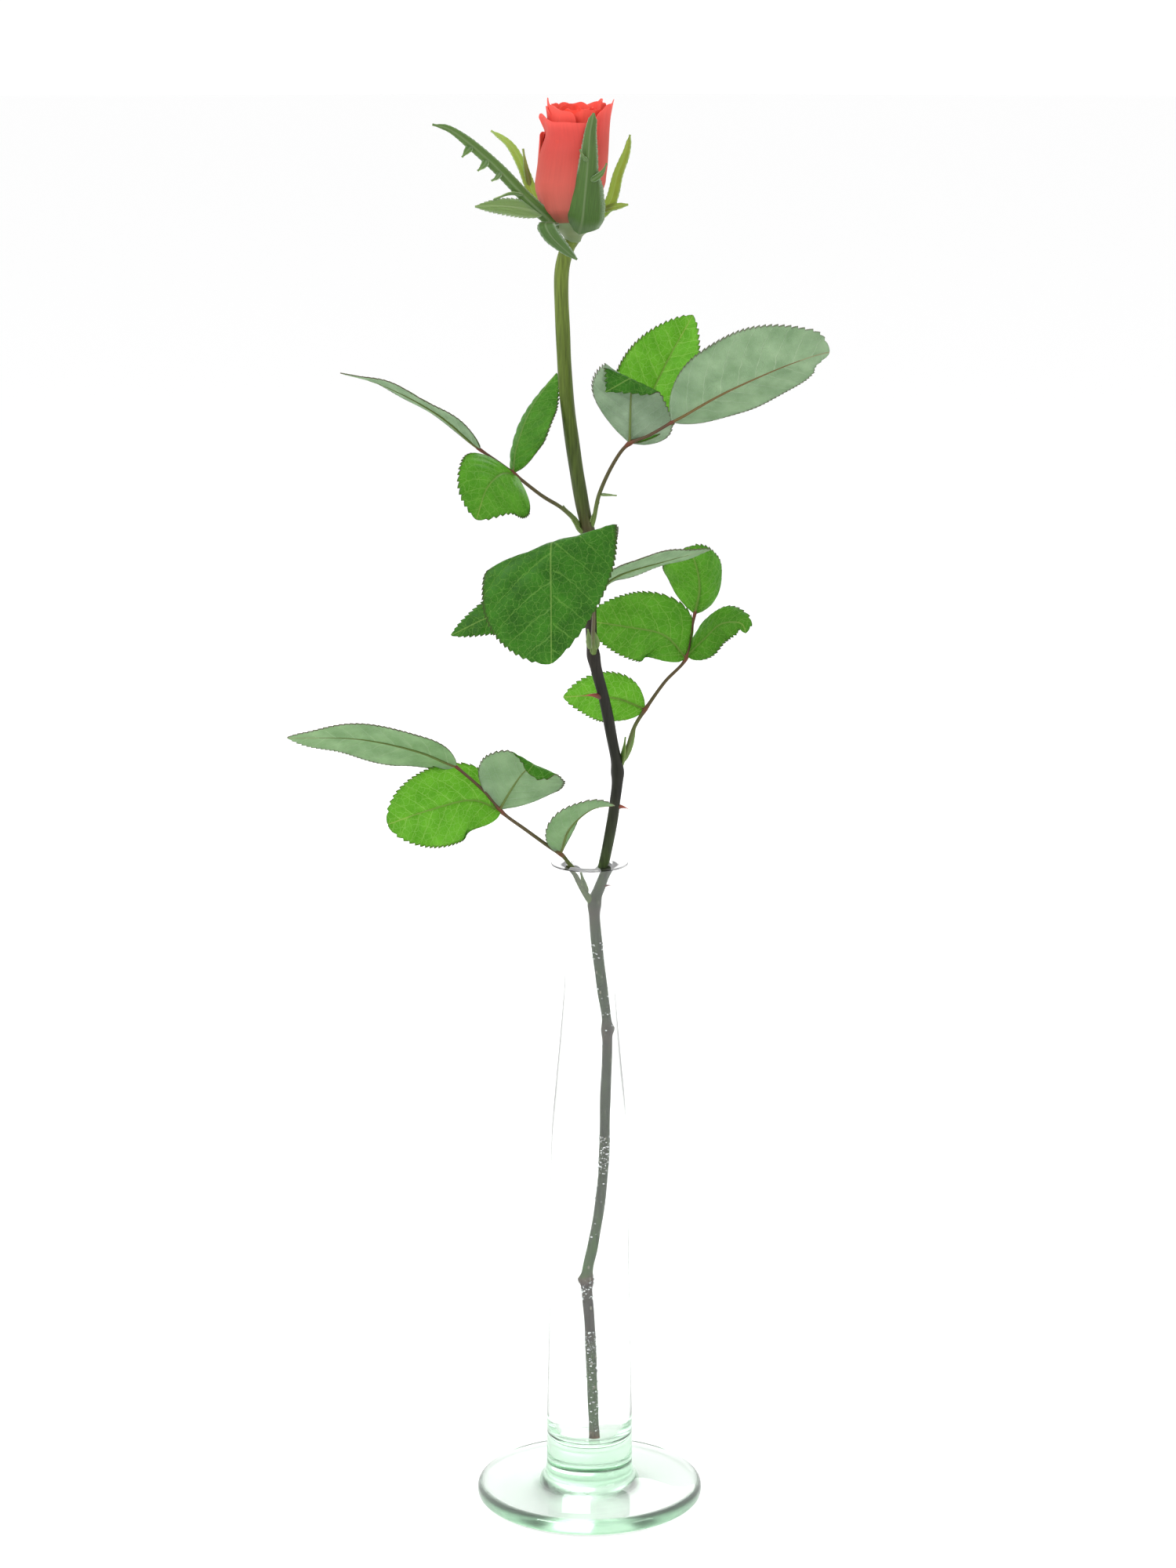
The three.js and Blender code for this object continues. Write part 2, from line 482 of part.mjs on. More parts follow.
export default group;
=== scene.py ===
# %% [markdown]
# # A cut rose in a bud vase
# One rose stands in a slim vase of blown glass, filled with water. The construction model gives every
# piece its size and place. This script dresses it: clear glass and water that bend the light, bark that
# changes colour down the stem, thin leaves with veins and saw teeth, and velvety petals.
# Shapes are written in millimetres and turned to metres when a mesh is made.

# %% The frame
import math

import bpy
import numpy as np
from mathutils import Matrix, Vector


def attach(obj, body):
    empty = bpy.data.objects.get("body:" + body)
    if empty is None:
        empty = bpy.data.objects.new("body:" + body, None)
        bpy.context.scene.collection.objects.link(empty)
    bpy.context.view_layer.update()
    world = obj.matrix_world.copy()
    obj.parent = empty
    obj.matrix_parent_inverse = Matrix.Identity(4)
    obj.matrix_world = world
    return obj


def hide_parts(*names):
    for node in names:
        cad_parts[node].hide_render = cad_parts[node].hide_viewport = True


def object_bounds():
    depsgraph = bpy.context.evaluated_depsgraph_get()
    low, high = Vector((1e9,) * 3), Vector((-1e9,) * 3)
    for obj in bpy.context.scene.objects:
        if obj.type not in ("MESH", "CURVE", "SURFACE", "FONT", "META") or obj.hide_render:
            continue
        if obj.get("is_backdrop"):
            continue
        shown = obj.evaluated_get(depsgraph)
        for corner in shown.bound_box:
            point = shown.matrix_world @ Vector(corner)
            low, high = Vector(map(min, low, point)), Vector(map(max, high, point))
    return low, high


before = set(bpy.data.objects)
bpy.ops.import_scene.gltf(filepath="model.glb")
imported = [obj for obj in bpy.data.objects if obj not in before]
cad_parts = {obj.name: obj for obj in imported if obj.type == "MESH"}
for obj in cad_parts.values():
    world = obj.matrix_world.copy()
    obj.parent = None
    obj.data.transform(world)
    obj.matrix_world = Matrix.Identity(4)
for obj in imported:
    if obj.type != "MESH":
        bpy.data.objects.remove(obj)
cad_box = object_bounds()
MM = 0.001  # metres in a millimetre
print("construction nodes:", ", ".join(sorted(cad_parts)))

# %% [markdown]
# ## The camera
# The photograph looks down a little from over a metre away with a long lens, so the foot of the vase is
# an open ellipse and the lip a thin one. A camera was fitted to both ellipses; these are its numbers.

# %% Camera
CAMERA_PLACE = (-0.55, -1308.8, 552.7)  # millimetres
CAMERA_TILT = 0.21553  # radians below the horizon
FOCAL_PIXELS, PHOTO_HEIGHT = 4853.7, 2000  # in pixels of the photograph
LONG_SIDE = 36  # millimetres of the sensor along the photograph's height
FOCAL_LENGTH = FOCAL_PIXELS * LONG_SIDE / PHOTO_HEIGHT

camera = bpy.data.objects.new("camera", bpy.data.cameras.new("camera"))
camera.data.lens = FOCAL_LENGTH
camera.location = [c * MM for c in CAMERA_PLACE]
camera.rotation_euler = (math.pi / 2 - CAMERA_TILT, 0, 0)
bpy.context.collection.objects.link(camera)
bpy.context.scene.camera = camera
print(f"camera: {FOCAL_LENGTH:.1f} mm lens, {-CAMERA_PLACE[1]:.0f} mm away")

# %% [markdown]
# ## Nodes and colours
# Every finish below is a small tree of nodes. One function adds a node, sets it up and fills its inputs,
# either with numbers or with the first output of an earlier node. Colours are written as sRGB hex values,
# as a painter reads them off a picture, and turned to the linear numbers that light adds up in.


# %% One node at a time
def linear(colour):
    """An sRGB hex colour, such as #3E8A20, as linear red, green, blue and alpha."""
    shares = [int(colour[k:k + 2], 16) / 255 for k in (1, 3, 5)]
    return [c / 12.92 if c <= 0.04045 else ((c + 0.055) / 1.055) ** 2.4 for c in shares] + [1.0]


def add(tree, kind, inputs=(), **settings):
    """Adds a node with its settings; each input takes a number, a colour, a node or one of its outputs."""
    node = tree.nodes.new("ShaderNode" + kind)
    for name, value in settings.items():
        setattr(node, name, value)
    for name, value in dict(inputs).items():
        if isinstance(value, bpy.types.Node):
            value = value.outputs[0]
        if isinstance(value, bpy.types.NodeSocket):
            tree.links.new(value, node.inputs[name])
        else:
            node.inputs[name].default_value = linear(value) if isinstance(value, str) else value
    return node


def new_material(name):
    """An empty material and its tree of nodes."""
    material = bpy.data.materials.new(name)
    material.use_nodes = True
    material.node_tree.nodes.clear()
    return material, material.node_tree


# %% [markdown]
# The same few steps come back in every finish, so each gets a name: a blend of two colours, a change of
# range, a noise with cells of a known width, a ramp of colours, small dents, and a thin sheet that lets
# part of the light through.


# %% Steps that come back
def mix(tree, amount, first, second):
    """A blend of two colours."""
    return add(tree, "Mix", {"Factor": amount, "A": first, "B": second}, data_type="RGBA").outputs["Result"]


def remap(tree, value, source, target=(0.0, 1.0), smooth=False):
    """A value moved from one range to another and held inside it."""
    ends = {"From Min": source[0], "From Max": source[1], "To Min": target[0], "To Max": target[1]}
    kind = "SMOOTHSTEP" if smooth else "LINEAR"
    return add(tree, "MapRange", {"Value": value, **ends}, interpolation_type=kind).outputs["Result"]


def noise(tree, vector, width, detail=2.0):
    """A soft random pattern with cells this wide, in the unit of the vector."""
    return add(tree, "TexNoise", {"Vector": vector, "Scale": 1 / width, "Detail": detail}).outputs[0]


def stretched(tree, vector, scale):
    """The same places with each axis multiplied, which stretches a pattern along the smallest."""
    return add(tree, "Mapping", {"Vector": vector, "Scale": scale})


def shaded(tree, colour, amount):
    """A colour made darker or lighter."""
    return add(tree, "VectorMath", {0: colour, "Scale": amount}, operation="SCALE")


def ramp(tree, value, stops):
    """A run of colours along a value, from places between 0 and 1."""
    node = add(tree, "ValToRGB", {0: value})
    elements = node.color_ramp.elements
    elements.remove(elements[1])
    for k, (place, colour) in enumerate(stops):
        stop = elements.new(place) if k else elements[0]
        stop.position, stop.color = place, linear(colour)
    return node


def dents(tree, height, strength, depth):
    """Relief too small for the mesh, with its depth in millimetres."""
    return add(tree, "Bump", {"Strength": strength, "Distance": depth * MM, "Height": height})


def thin_sheet(tree, skin, glow, colour):
    """A skin on a sheet so thin that a share of the light comes through, in this colour."""
    return add(tree, "MixShader", {0: glow, 1: skin, 2: add(tree, "BsdfTranslucent", {"Color": colour})})


def reading(tree, name):
    """The three numbers that a mesh carries at each point under this name."""
    return add(tree, "Attribute", attribute_name=name).outputs["Vector"]


def parts_of(tree, vector):
    """The three numbers of a vector, one by one."""
    return add(tree, "SeparateXYZ", {0: vector}).outputs


def in_space(tree):
    """Where a point is, in metres from the middle of the vase's foot."""
    return add(tree, "TexCoord").outputs["Object"]


# %% [markdown]
# ## A bright, even studio
# The rose is photographed against white, with light all round it and more from behind, so that leaves
# and petals glow where the light comes through. A white world does most of the work. One patch of it, in
# front, is dark, where a camera and its stand would keep light out: glass shows only what it bends and
# mirrors, and with nothing dark anywhere its edges would vanish.

# %% World
WORLD_LIGHT, WORLD_DARK = 1.08, 0.25
DARK_WAY = (0.0, -0.94, 0.34)  # towards the middle of the dark patch
DARK_EDGE = (0.90, 0.975)  # cosines of the angles where the dark patch starts and is full

bpy.context.scene.view_settings.view_transform = "Standard"

world = bpy.data.worlds.new("studio")
world.use_nodes = True
world.node_tree.nodes.clear()
tree = world.node_tree
every_way = add(tree, "TexCoord").outputs["Generated"]
near_dark = add(tree, "VectorMath", {0: every_way, 1: DARK_WAY}, operation="DOT_PRODUCT").outputs["Value"]
brightness = remap(tree, near_dark, DARK_EDGE, (WORLD_LIGHT, WORLD_DARK), smooth=True)
sky = add(tree, "Background", {"Color": "#FFFFFF", "Strength": brightness})
add(tree, "OutputWorld", {"Surface": sky})
bpy.context.scene.world = world

# %% [markdown]
# The floor is plain matt paper, large enough to meet the white world. Just under the vase the paper is lit
# from below too, as on a light table, so that the clear foot isn't grey.

# %% Matt white paper
FLOOR_RADIUS, FLOOR_GAP = 14.0, 0.0003  # metres; the gap keeps the paper just clear of the foot
PAPER_GRAIN = 900.0  # how many grains there are across the sheet
LIT_SPOT = (0.038, 0.06)  # metres from the middle: lit from below up to the first, not beyond the second
LIT_STRENGTH = 0.3

paper, tree = new_material("matt_white_paper")
grain = add(tree, "TexNoise", {"Scale": PAPER_GRAIN, "Detail": 3.0})
from_vase = add(tree, "VectorMath", {0: in_space(tree)}, operation="LENGTH").outputs["Value"]
lit_from_below = remap(tree, from_vase, LIT_SPOT, (LIT_STRENGTH, 0.0))
paper_shader = add(tree, "BsdfPrincipled", {
    "Base Color": "#F8F8F8", "Roughness": 0.9, "Normal": dents(tree, grain, 0.05, 0.2),
    "Emission Color": "#FFFFFF", "Emission Strength": lit_from_below})
add(tree, "OutputMaterial", {"Surface": paper_shader})

bpy.ops.mesh.primitive_circle_add(vertices=96, radius=FLOOR_RADIUS, fill_type="NGON",
                                  location=(0, 0, -FLOOR_GAP))
floor = bpy.context.object
floor.name = "floor"
floor.data.materials.append(paper)
floor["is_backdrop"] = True

# %% [markdown]
# Three soft lamps add the direction that shows the veins and folds: one from behind, and two from the
# front, of which the left one is much the stronger.

# %% Lamps
LAMP_AIM = (0, 0, 0.35)
LAMPS = {  # place in metres, width in metres, watts
    "softbox_behind": ((0.4, 1.4, 1.2), 1.0, 9),
    "softbox_left": ((-1.2, -1.0, 1.5), 0.7, 18),
    "softbox_right": ((1.5, -1.0, 0.8), 0.7, 4),
}

for name, (place, width, watts) in LAMPS.items():
    light = bpy.data.objects.new(name, bpy.data.lights.new(name, "AREA"))
    light.data.size = width
    light.data.energy = watts
    light.location = place
    way = np.array(LAMP_AIM) - np.array(place)
    tilt = math.acos(-way[2] / np.linalg.norm(way))
    light.rotation_euler = (tilt, 0, math.atan2(way[1], way[0]) - math.pi / 2)
    bpy.context.collection.objects.link(light)
print("world strength", WORLD_LIGHT, "and", len(LAMPS), "lamps")

# %% [markdown]
# ## Lines, tubes and meshes
# Stem, stalks and midribs follow smooth curves through listed points. The helpers here place
# points evenly on such a curve and carry an upright direction along it.


# %% Curves
CURVE_STEPS = 24  # points worked out between two that were picked


def unit(vectors):
    """The same directions with length 1."""
    return vectors / np.linalg.norm(vectors, axis=-1, keepdims=True)


def run_of(line):
    """How far along a line each of its points is."""
    return np.concatenate([[0], np.cumsum(np.linalg.norm(np.diff(line, axis=0), axis=1))])


def line_through(points, shares):
    """Places at these shares of the length of a smooth curve through the points, and its length."""
    p = np.array(points, float)
    ends = np.vstack([2 * p[0] - p[1], p, 2 * p[-1] - p[-2]])
    t = np.linspace(0, 1, CURVE_STEPS, endpoint=False)[:, None]
    runs = []
    for a, b, c, d in zip(ends, ends[1:], ends[2:], ends[3:]):
        runs.append(b * (2 * t ** 3 - 3 * t ** 2 + 1) + (c - a) / 2 * (t ** 3 - 2 * t ** 2 + t)
                    + c * (3 * t ** 2 - 2 * t ** 3) + (d - b) / 2 * (t ** 3 - t ** 2))
    fine = np.vstack([*runs, p[-1:]])
    gone = run_of(fine)
    wanted = np.asarray(shares) * gone[-1]
    return np.column_stack([np.interp(wanted, gone, fine[:, k]) for k in range(3)]), gone[-1]


def carried(up, forward):
    """An upright direction carried along a line without turning about it."""
    rows, now = [], np.array(up, float)
    for way in forward:
        now = unit(now - way * now.dot(way))
        rows.append(now)
    return np.array(rows)


# %% [markdown]
# A surface is kept as a dictionary until its piece is made. Two sets of numbers go with every point, for
# the materials to read: `place`, where it lies on the flat surface in millimetres, and `grow`, how far it is
# towards the edge and the tip. There are two kinds: rings closed at both ends, which give the tubes and
# everything round, and slabs, which give every blade and petal its thickness.


# %% Surfaces
def surface(points, faces, finish, place=None, grow=None):
    """A surface: points in millimetres, faces, the finish of each or of all, and the two readings."""
    empty = np.zeros((len(points), 3))
    return {"points": points, "faces": faces, "place": empty if place is None else place,
            "grow": empty if grow is None else grow,
            "finish": [finish] * len(faces) if isinstance(finish, int) else finish}


def ring_faces(rows, sides):
    """Faces from ring to ring and to a point beyond each end; those two points come after the rings."""
    top = (rows - 1) * sides
    first, last = rows * sides, rows * sides + 1
    faces = []
    for k in range(sides):
        after = (k + 1) % sides
        faces += [(i + k, i + after, i + sides + after, i + sides + k) for i in range(0, top, sides)]
        faces += [(first, after, k), (last, top + k, top + after)]
    return faces


def tube(line, radii, sides, finish, grow=None, sway=None):
    """A round bar along a line, closed at both ends; sway gives what is added to its radius."""
    count = len(line)
    forward = unit(np.gradient(line, axis=0))
    side = carried((0.3, -1, 0.2) if abs(forward[0][1]) < 0.9 else (1, 0, 0.2), forward)
    other = np.cross(forward, side)
    turn = np.linspace(0, 2 * math.pi, sides, endpoint=False)
    radius = radii[:, None] * np.ones(sides)
    if sway is not None:
        radius = radius + sway(line, side, other, turn)
    spokes = np.cos(turn)[:, None] * side[:, None] + np.sin(turn)[:, None] * other[:, None]
    points = (line[:, None] + radius[..., None] * spokes).reshape(-1, 3)
    gone = run_of(line)
    place = np.column_stack([np.tile(turn, count), np.repeat(gone, sides), np.zeros(count * sides)])
    if grow is None:
        grow = np.column_stack([np.zeros(count), np.linspace(0, 1, count), np.zeros(count)])
    return surface(np.vstack([points, line[:1], line[-1:]]), ring_faces(count, sides), finish,
                   np.vstack([place, [0, 0, 0], [0, gone[-1], 0]]),
                   np.vstack([np.repeat(grow, sides, axis=0), grow[:1], grow[-1:]]))


def slab(sheet, rise, half, finish, place, grow):
    """A grid of points raised by a height, with half a thickness above and below and a wall round it."""
    over = unit(np.cross(np.gradient(sheet, axis=1), np.gradient(sheet, axis=0)))
    one = np.ones(sheet.shape[:2])
    middle, thick = sheet + over * (rise * one)[..., None], over * (half * one)[..., None]
    points = np.vstack([(middle + thick).reshape(-1, 3), (middle - thick).reshape(-1, 3)])
    grid = np.arange(one.size).reshape(one.shape)
    top = np.stack([grid[:-1, :-1], grid[:-1, 1:], grid[1:, 1:], grid[1:, :-1]], -1).reshape(-1, 4)
    rim = np.vstack([np.column_stack(pair) for pair in (
        (grid[:-1, 0], grid[1:, 0]), (grid[1:, -1], grid[:-1, -1]),
        (grid[0, 1:], grid[0, :-1]), (grid[-1, :-1], grid[-1, 1:]))])
    faces = [top, top[:, ::-1] + one.size, np.hstack([rim, rim[:, ::-1] + one.size])]
    kinds = [kind for kind, group in zip(finish, faces) for _ in group]
    twice = [np.tile(rows.reshape(-1, 3), (2, 1)) for rows in (place, grow)]
    return surface(points, np.vstack(faces).tolist(), kinds, *twice)


# %% Pieces
SHARP_EDGE = 50  # degrees between two faces, beyond which their edge isn't shaded smooth


def make_piece(name, surfaces, materials, nodes=(), crease=SHARP_EDGE):
    """Joins surfaces into one mesh in metres and lets it stand for its construction nodes."""
    faces, finish, start = [], [], 0
    for part in surfaces:
        faces += [tuple(corner + start for corner in face) for face in part["faces"]]
        finish += part["finish"]
        start += len(part["points"])
    mesh = bpy.data.meshes.new(name)
    mesh.from_pydata((np.vstack([part["points"] for part in surfaces]) * MM).tolist(), [], faces)
    mesh.polygons.foreach_set("material_index", finish)
    for key in ("place", "grow"):
        values = np.vstack([part[key] for part in surfaces]).astype(np.float32)
        mesh.attributes.new(key, "FLOAT_VECTOR", "POINT").data.foreach_set("vector", values.ravel())
    mesh.update()
    mesh.shade_smooth()
    mesh.set_sharp_from_angle(angle=math.radians(crease))
    for material in materials:
        mesh.materials.append(material)
    piece = bpy.data.objects.new(name, mesh)
    bpy.context.collection.objects.link(piece)
    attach(piece, "root")
    if nodes:
        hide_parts(*nodes)
    print(f"{name}: {len(mesh.polygons)} faces, {len(mesh.materials)} finishes")
    return piece


# %% [markdown]
# ## The vase
# A bud vase like this is one gather of soda-lime glass, blown and then pressed down to make the foot.
# Turning an outline round an axis gives its form. The outline has few points, so its corners are cut
# three times over, which rounds them as the flame does.

# %% Outline of the glass
VASE_OUTSIDE = [
    (0, 0), (36, 0), (38.8, 0), (40.6, 1), (41, 2.2), (41, 3.8), (40.4, 5.1), (39.2, 5.9), (37.6, 6),
    (24, 6.3), (18.6, 7), (16.3, 8.4), (15.6, 11.5), (15.6, 20), (15.6, 32), (14.4, 77), (14.1, 133),
    (12.7, 151), (11.2, 167), (10.1, 179), (8.8, 195), (8.5, 210), (8.5, 229), (8.6, 234.6), (8.8, 236.8),
    (9.6, 237.35), (13.3, 237.4), (13.6, 237.45)]
VASE_INSIDE = [
    (13.6, 237.65), (13.3, 237.7), (8.9, 237.7), (8, 237.3), (7.6, 236.2), (7.5, 234.6), (7.4, 229),
    (7.3, 210), (7.6, 195), (8.8, 179), (9.9, 167), (11.4, 151), (12.8, 133), (13, 77), (13.9, 32),
    (13.6, 26.5), (12, 23.6), (8, 22.4), (4, 22), (0, 22)]
LATHE_SIDES = 144


def rounded(points, times=3):
    """Cuts the corners of a line of points over and over, which rounds it."""
    line = np.array(points, float)
    for _ in range(times):
        a, b = line[:-1], line[1:]
        cut = np.stack([0.75 * a + 0.25 * b, 0.25 * a + 0.75 * b], axis=1).reshape(-1, 2)
        line = np.vstack([line[:1], cut, line[-1:]])
    return line


def turned(outline, finish=0, swell=None, sides=LATHE_SIDES):
    """A surface of revolution from radius and height; the first and last points lie on the axis."""
    turn = np.linspace(0, 2 * math.pi, sides, endpoint=False)
    ring = outline[1:-1]
    radius = ring[:, :1] + (0 if swell is None else swell(ring, turn))
    height = np.repeat(ring[:, 1:], sides, axis=1)
    body = np.stack([radius * np.cos(turn), radius * np.sin(turn), height], axis=-1).reshape(-1, 3)
    points = np.vstack([body, [0, 0, outline[0][1]], [0, 0, outline[-1][1]]])
    return surface(points, ring_faces(len(ring), sides), finish)


outside, inside = rounded(VASE_OUTSIDE), rounded(VASE_INSIDE)
glass_outline = np.vstack([outside, inside])
print("glass outline:", len(glass_outline), "points")

# %% [markdown]
# The wall is never quite even inside, which is what makes light waver in it. So the inner surface gets a
# slow swell of a tenth of a millimetre: three waves that run round the vase and turn as they rise.

# %% Waves in the wall
WALL_SWELL = 0.07
WALL_WAVES = [  # relative size, how many go round, turn per millimetre up, start
    (1, 2, 1 / 23, 0), (0.6, 3, -1 / 11, 1), (0.3, 7, 1 / 31, 0)]
SWELL_STARTS = 8  # points of the outline over which the swell grows from nothing, inside the lip


def wall_swell(ring, turn):
    """The slow unevenness of the inner wall, none of it on the outside."""
    place = np.arange(1, len(ring) + 1)[:, None]
    inner = np.clip((place - len(outside)) / SWELL_STARTS, 0, 1)
    return inner * WALL_SWELL * sum(size * np.sin(around * turn + ring[:, 1:] * rise + start)
                                    for size, around, rise, start in WALL_WAVES)


# %% [markdown]
# Soda-lime glass bends light by 1.5 and holds a little iron, so it looks colourless in a thin wall and
# green along the foot, where the eye looks through centimetres of it. Absorption inside the body gives
# exactly that; a tint on the surface would colour the thin wall as much as the thick base. Underneath, the
# foot is ground flat so that it stands, and a ground face is matt: it lets the light of the table in.

# %% Soda-lime glass, blown
GLASS_IOR = 1.5
GROUND_HEIGHT = 0.0004  # metres; below this the glass is ground, most of all below a quarter of it
GROUND_ROUGHNESS = 0.22
IRON_TINT, IRON_DENSITY = (0.04, 0.86, 0.26, 1), 9.0  # what is left of each colour, and how fast it goes

glass, tree = new_material("soda_lime_glass_blown")
up_glass = parts_of(tree, in_space(tree))["Z"]
polish = remap(tree, up_glass, (GROUND_HEIGHT / 4, GROUND_HEIGHT), (GROUND_ROUGHNESS, 0.0))
glass_shader = add(tree, "BsdfPrincipled", {"Base Color": "#FFFFFF", "Roughness": polish, "IOR": GLASS_IOR,
                                            "Transmission Weight": 1.0})
iron = add(tree, "VolumeAbsorption", {"Color": IRON_TINT, "Density": IRON_DENSITY})
add(tree, "OutputMaterial", {"Surface": glass_shader, "Volume": iron})
make_piece("vase", [turned(glass_outline, swell=wall_swell)], [glass], ["vase_glass"])

# %% [markdown]
# ## The water
# The water has to touch the glass with no film of air between, or the wall would mirror like silver. So its
# body reaches a quarter of a millimetre into the wall: the light is then bent twice on its way through,
# and comes out as if it had passed straight from glass to water. Water bends light by 1.33, less than
# glass does. At the top it climbs the wall a little.

# %% Tap water
WATER_IOR = 1.333
WATER_LEVEL = 236.2
INTO_THE_WALL = 0.25
FLOOR_EDGE = 24  # where the inside floor ends and the wall begins
CLIMB = [(0.2, 0.5), (0.7, 0.2), (2, 0)]  # distance from the wall, and height above the level
ABOVE_CLIMB = 0.7  # the wet wall ends this far above the level

inside_up = inside[::-1]
wetted = inside_up[inside_up[:, 1] < WATER_LEVEL + ABOVE_CLIMB] + [INTO_THE_WALL, 0]
wetted[:, 1] -= INTO_THE_WALL * (wetted[:, 1] < FLOOR_EDGE)
wetted[0, 0] = 0
brim_radius = np.interp(WATER_LEVEL, inside_up[:, 1], inside_up[:, 0])
brim = [(brim_radius - away, WATER_LEVEL + up) for away, up in CLIMB] + [(0, WATER_LEVEL)]

water, tree = new_material("tap_water")
water_shader = add(tree, "BsdfPrincipled", {"Base Color": "#FFFFFF", "Roughness": 0.0, "IOR": WATER_IOR,
                                            "Transmission Weight": 1.0})
add(tree, "OutputMaterial", {"Surface": water_shader})
make_piece("water_in_vase", [turned(np.vstack([wetted, brim]))], [water], ["water"])

# %% [markdown]
# ## The stem
# The stem is woody but young: green where it is newest, purple-brown and almost black in the middle, and
# dull grey-green under water, where it shows the red of a fresh cut at its foot. It kinks a little at every
# node, and two leaves that were stripped off have left raised scars.

# %% Path and thickness of the stem
STEM_PATH = [
    (1.3, 0, 22.6), (0.2, 0.4, 62), (-0.8, 0.6, 83.5), (0.9, 0.4, 97), (2.8, 0, 113), (4, -0.4, 130),
    (4.4, -0.6, 151), (4.8, -0.8, 177), (3.4, -0.4, 192), (1.9, 0, 209), (1.2, 0.3, 223), (2.6, 0.6, 229),
    (4.3, 0.9, 235), (5.2, 1, 238), (7.4, 1.6, 249), (8.8, 2, 258), (9.9, 2.2, 270), (7.7, 1.6, 283),
    (5.2, 0.8, 296), (1.4, 0, 312), (0.3, 0.6, 328), (-0.3, 1.4, 344), (-0.6, 1.8, 355), (-2.7, 1.8, 366),
    (-5.4, 1.4, 383), (-8.1, 0.8, 404), (-9.2, 0.2, 426), (-9.6, -0.2, 444), (-7.8, -0.1, 453),
    (-5.6, 0, 457)]
STEM_RADIUS = [(22, 1.5), (30, 1.25), (60, 1.35), (212, 1.4), (233, 1.55), (238, 1.9), (312, 1.95),
               (350, 2.2), (372, 2.45), (457, 2.5)]  # height and radius
STEM_NODES = (83.5, 177, 223, 270, 312, 355)
NODE_RISE, NODE_REACH = 0.42, 2.6  # how far a node stands out, and how far up and down it is felt
STEM_RINGS, STEM_SIDES = 380, 24

stem_line, stem_length = line_through(STEM_PATH, np.linspace(0, 1, STEM_RINGS))
heights = stem_line[:, 2]
stem_radii = np.interp(heights, *zip(*STEM_RADIUS))
for node in STEM_NODES:
    stem_radii = stem_radii + NODE_RISE * np.exp(-((heights - node) / NODE_REACH) ** 2)
print(f"stem: {stem_length:.0f} mm long, {2 * stem_radii.min():.1f} to {2 * stem_radii.max():.1f} mm thick")

# %% Scars and ridges
LEAF_SCARS = [(83.5, math.pi), (177, 0.0)]  # height, and the way it faces, as an angle from +X
SCAR_RISE, SCAR_REACH = 0.75, 1.3
RIDGES, UNEVEN = 0.05, 0.04  # heights of the five ridges along the stem and of its small unevenness


def bark_relief(line, side, other, turn):
    """Leaf scars, faint ridges and small unevenness, added to the stem's radius."""
    z = line[:, 2:]
    spoke = np.cos(turn) * side[:, :1] + np.sin(turn) * other[:, :1]
    cross = np.cos(turn) * side[:, 1:2] + np.sin(turn) * other[:, 1:2]
    relief = RIDGES * np.sin(5 * turn + z / 9) + UNEVEN * np.sin(z / 3.1 + 2 * turn)
    for height, way in LEAF_SCARS:
        facing = np.clip(spoke * math.cos(way) + cross * math.sin(way), 0, 1)
        relief = relief + SCAR_RISE * facing ** 3 * np.exp(-((z - height) / SCAR_REACH) ** 2)
    return relief


stem_body = tube(stem_line, stem_radii, STEM_SIDES, 0, sway=bark_relief)

# %% [markdown]
# A rose's thorns are outgrowths of its bark: broad and flat at the root, then a sharp point that looks down
# a little. They are swept along a short arc with a radius that falls quickly at first and slowly later.

# %% Thorns
THORNS = [  # start, tip and the radius at the root
    ((9.2, 2, 257.6), (14.4, 0.6, 256.7), 1.5),
    ((4.6, 0.5, 297.4), (-3.2, -2.6, 298.2), 1.6),
    ((3.6, 0.6, 229.5), (6.9, -0.6, 229.7), 0.75),
]
THORN_RINGS, THORN_SIDES = 12, 12
THORN_POINT = 0.06  # its radius at the tip
THORN_HOLLOW = 1.7  # how quickly it thins at first


def thorn(start, tip, root):
    """A curved spike with a broad root."""
    bow = (np.array(start) + np.array(tip)) / 2 + (0, 0, 0.3 * root)
    shares = np.linspace(0, 1, THORN_RINGS)
    line, _ = line_through([start, bow, tip], shares)
    return tube(line, np.maximum(THORN_POINT, root * (1 - shares) ** THORN_HOLLOW), THORN_SIDES, 1)


thorns = [thorn(*spec) for spec in THORNS]

# %% [markdown]
# Bark is a tree of two ideas: a ramp of colours by height, and mottling over it. Streaks run along the stem
# because its cells do, so the noise is drawn out fourteen times along the length. Pale lenticels dot the
# lower part.

# %% Young rose bark
BARK_COLOURS = [
    (22, "#B06A50"), (24, "#5E5A38"), (27, "#46663A"), (45, "#42662E"), (58, "#34481E"), (63, "#343020"),
    (81, "#343020"), (84, "#62483A"), (87, "#426C1E"), (99, "#38601A"), (112, "#324820"), (165, "#324420"),
    (176, "#4A4230"), (186, "#32501E"), (212, "#344A22"), (221, "#4A4632"), (226, "#30460E"),
    (234, "#2E480E"), (238, "#3A4A22"), (250, "#2C321E"), (262, "#1E1F16"), (300, "#1D1C16"),
    (316, "#26211A"), (352, "#402F21"), (358, "#444423"), (368, "#424F21"), (400, "#506122"),
    (457, "#66772E")]
WHOLE_HEIGHT = 504
DRIFT_WIDTH, COLOUR_DRIFT = 3.846, 0.008  # millimetres of a patch that shifts the colours, and how far
STREAK_WIDTH, STREAK_LENGTH = 0.7143, 14  # millimetres, and how many times longer than wide a streak is
LENTICEL_SPACING, LENTICEL_LENGTH = 2.381, 2.222  # the same for the pores
LENTICEL_EDGE = (0.10, 0.17)  # shares of the spacing where the pale dot starts to fade and ends
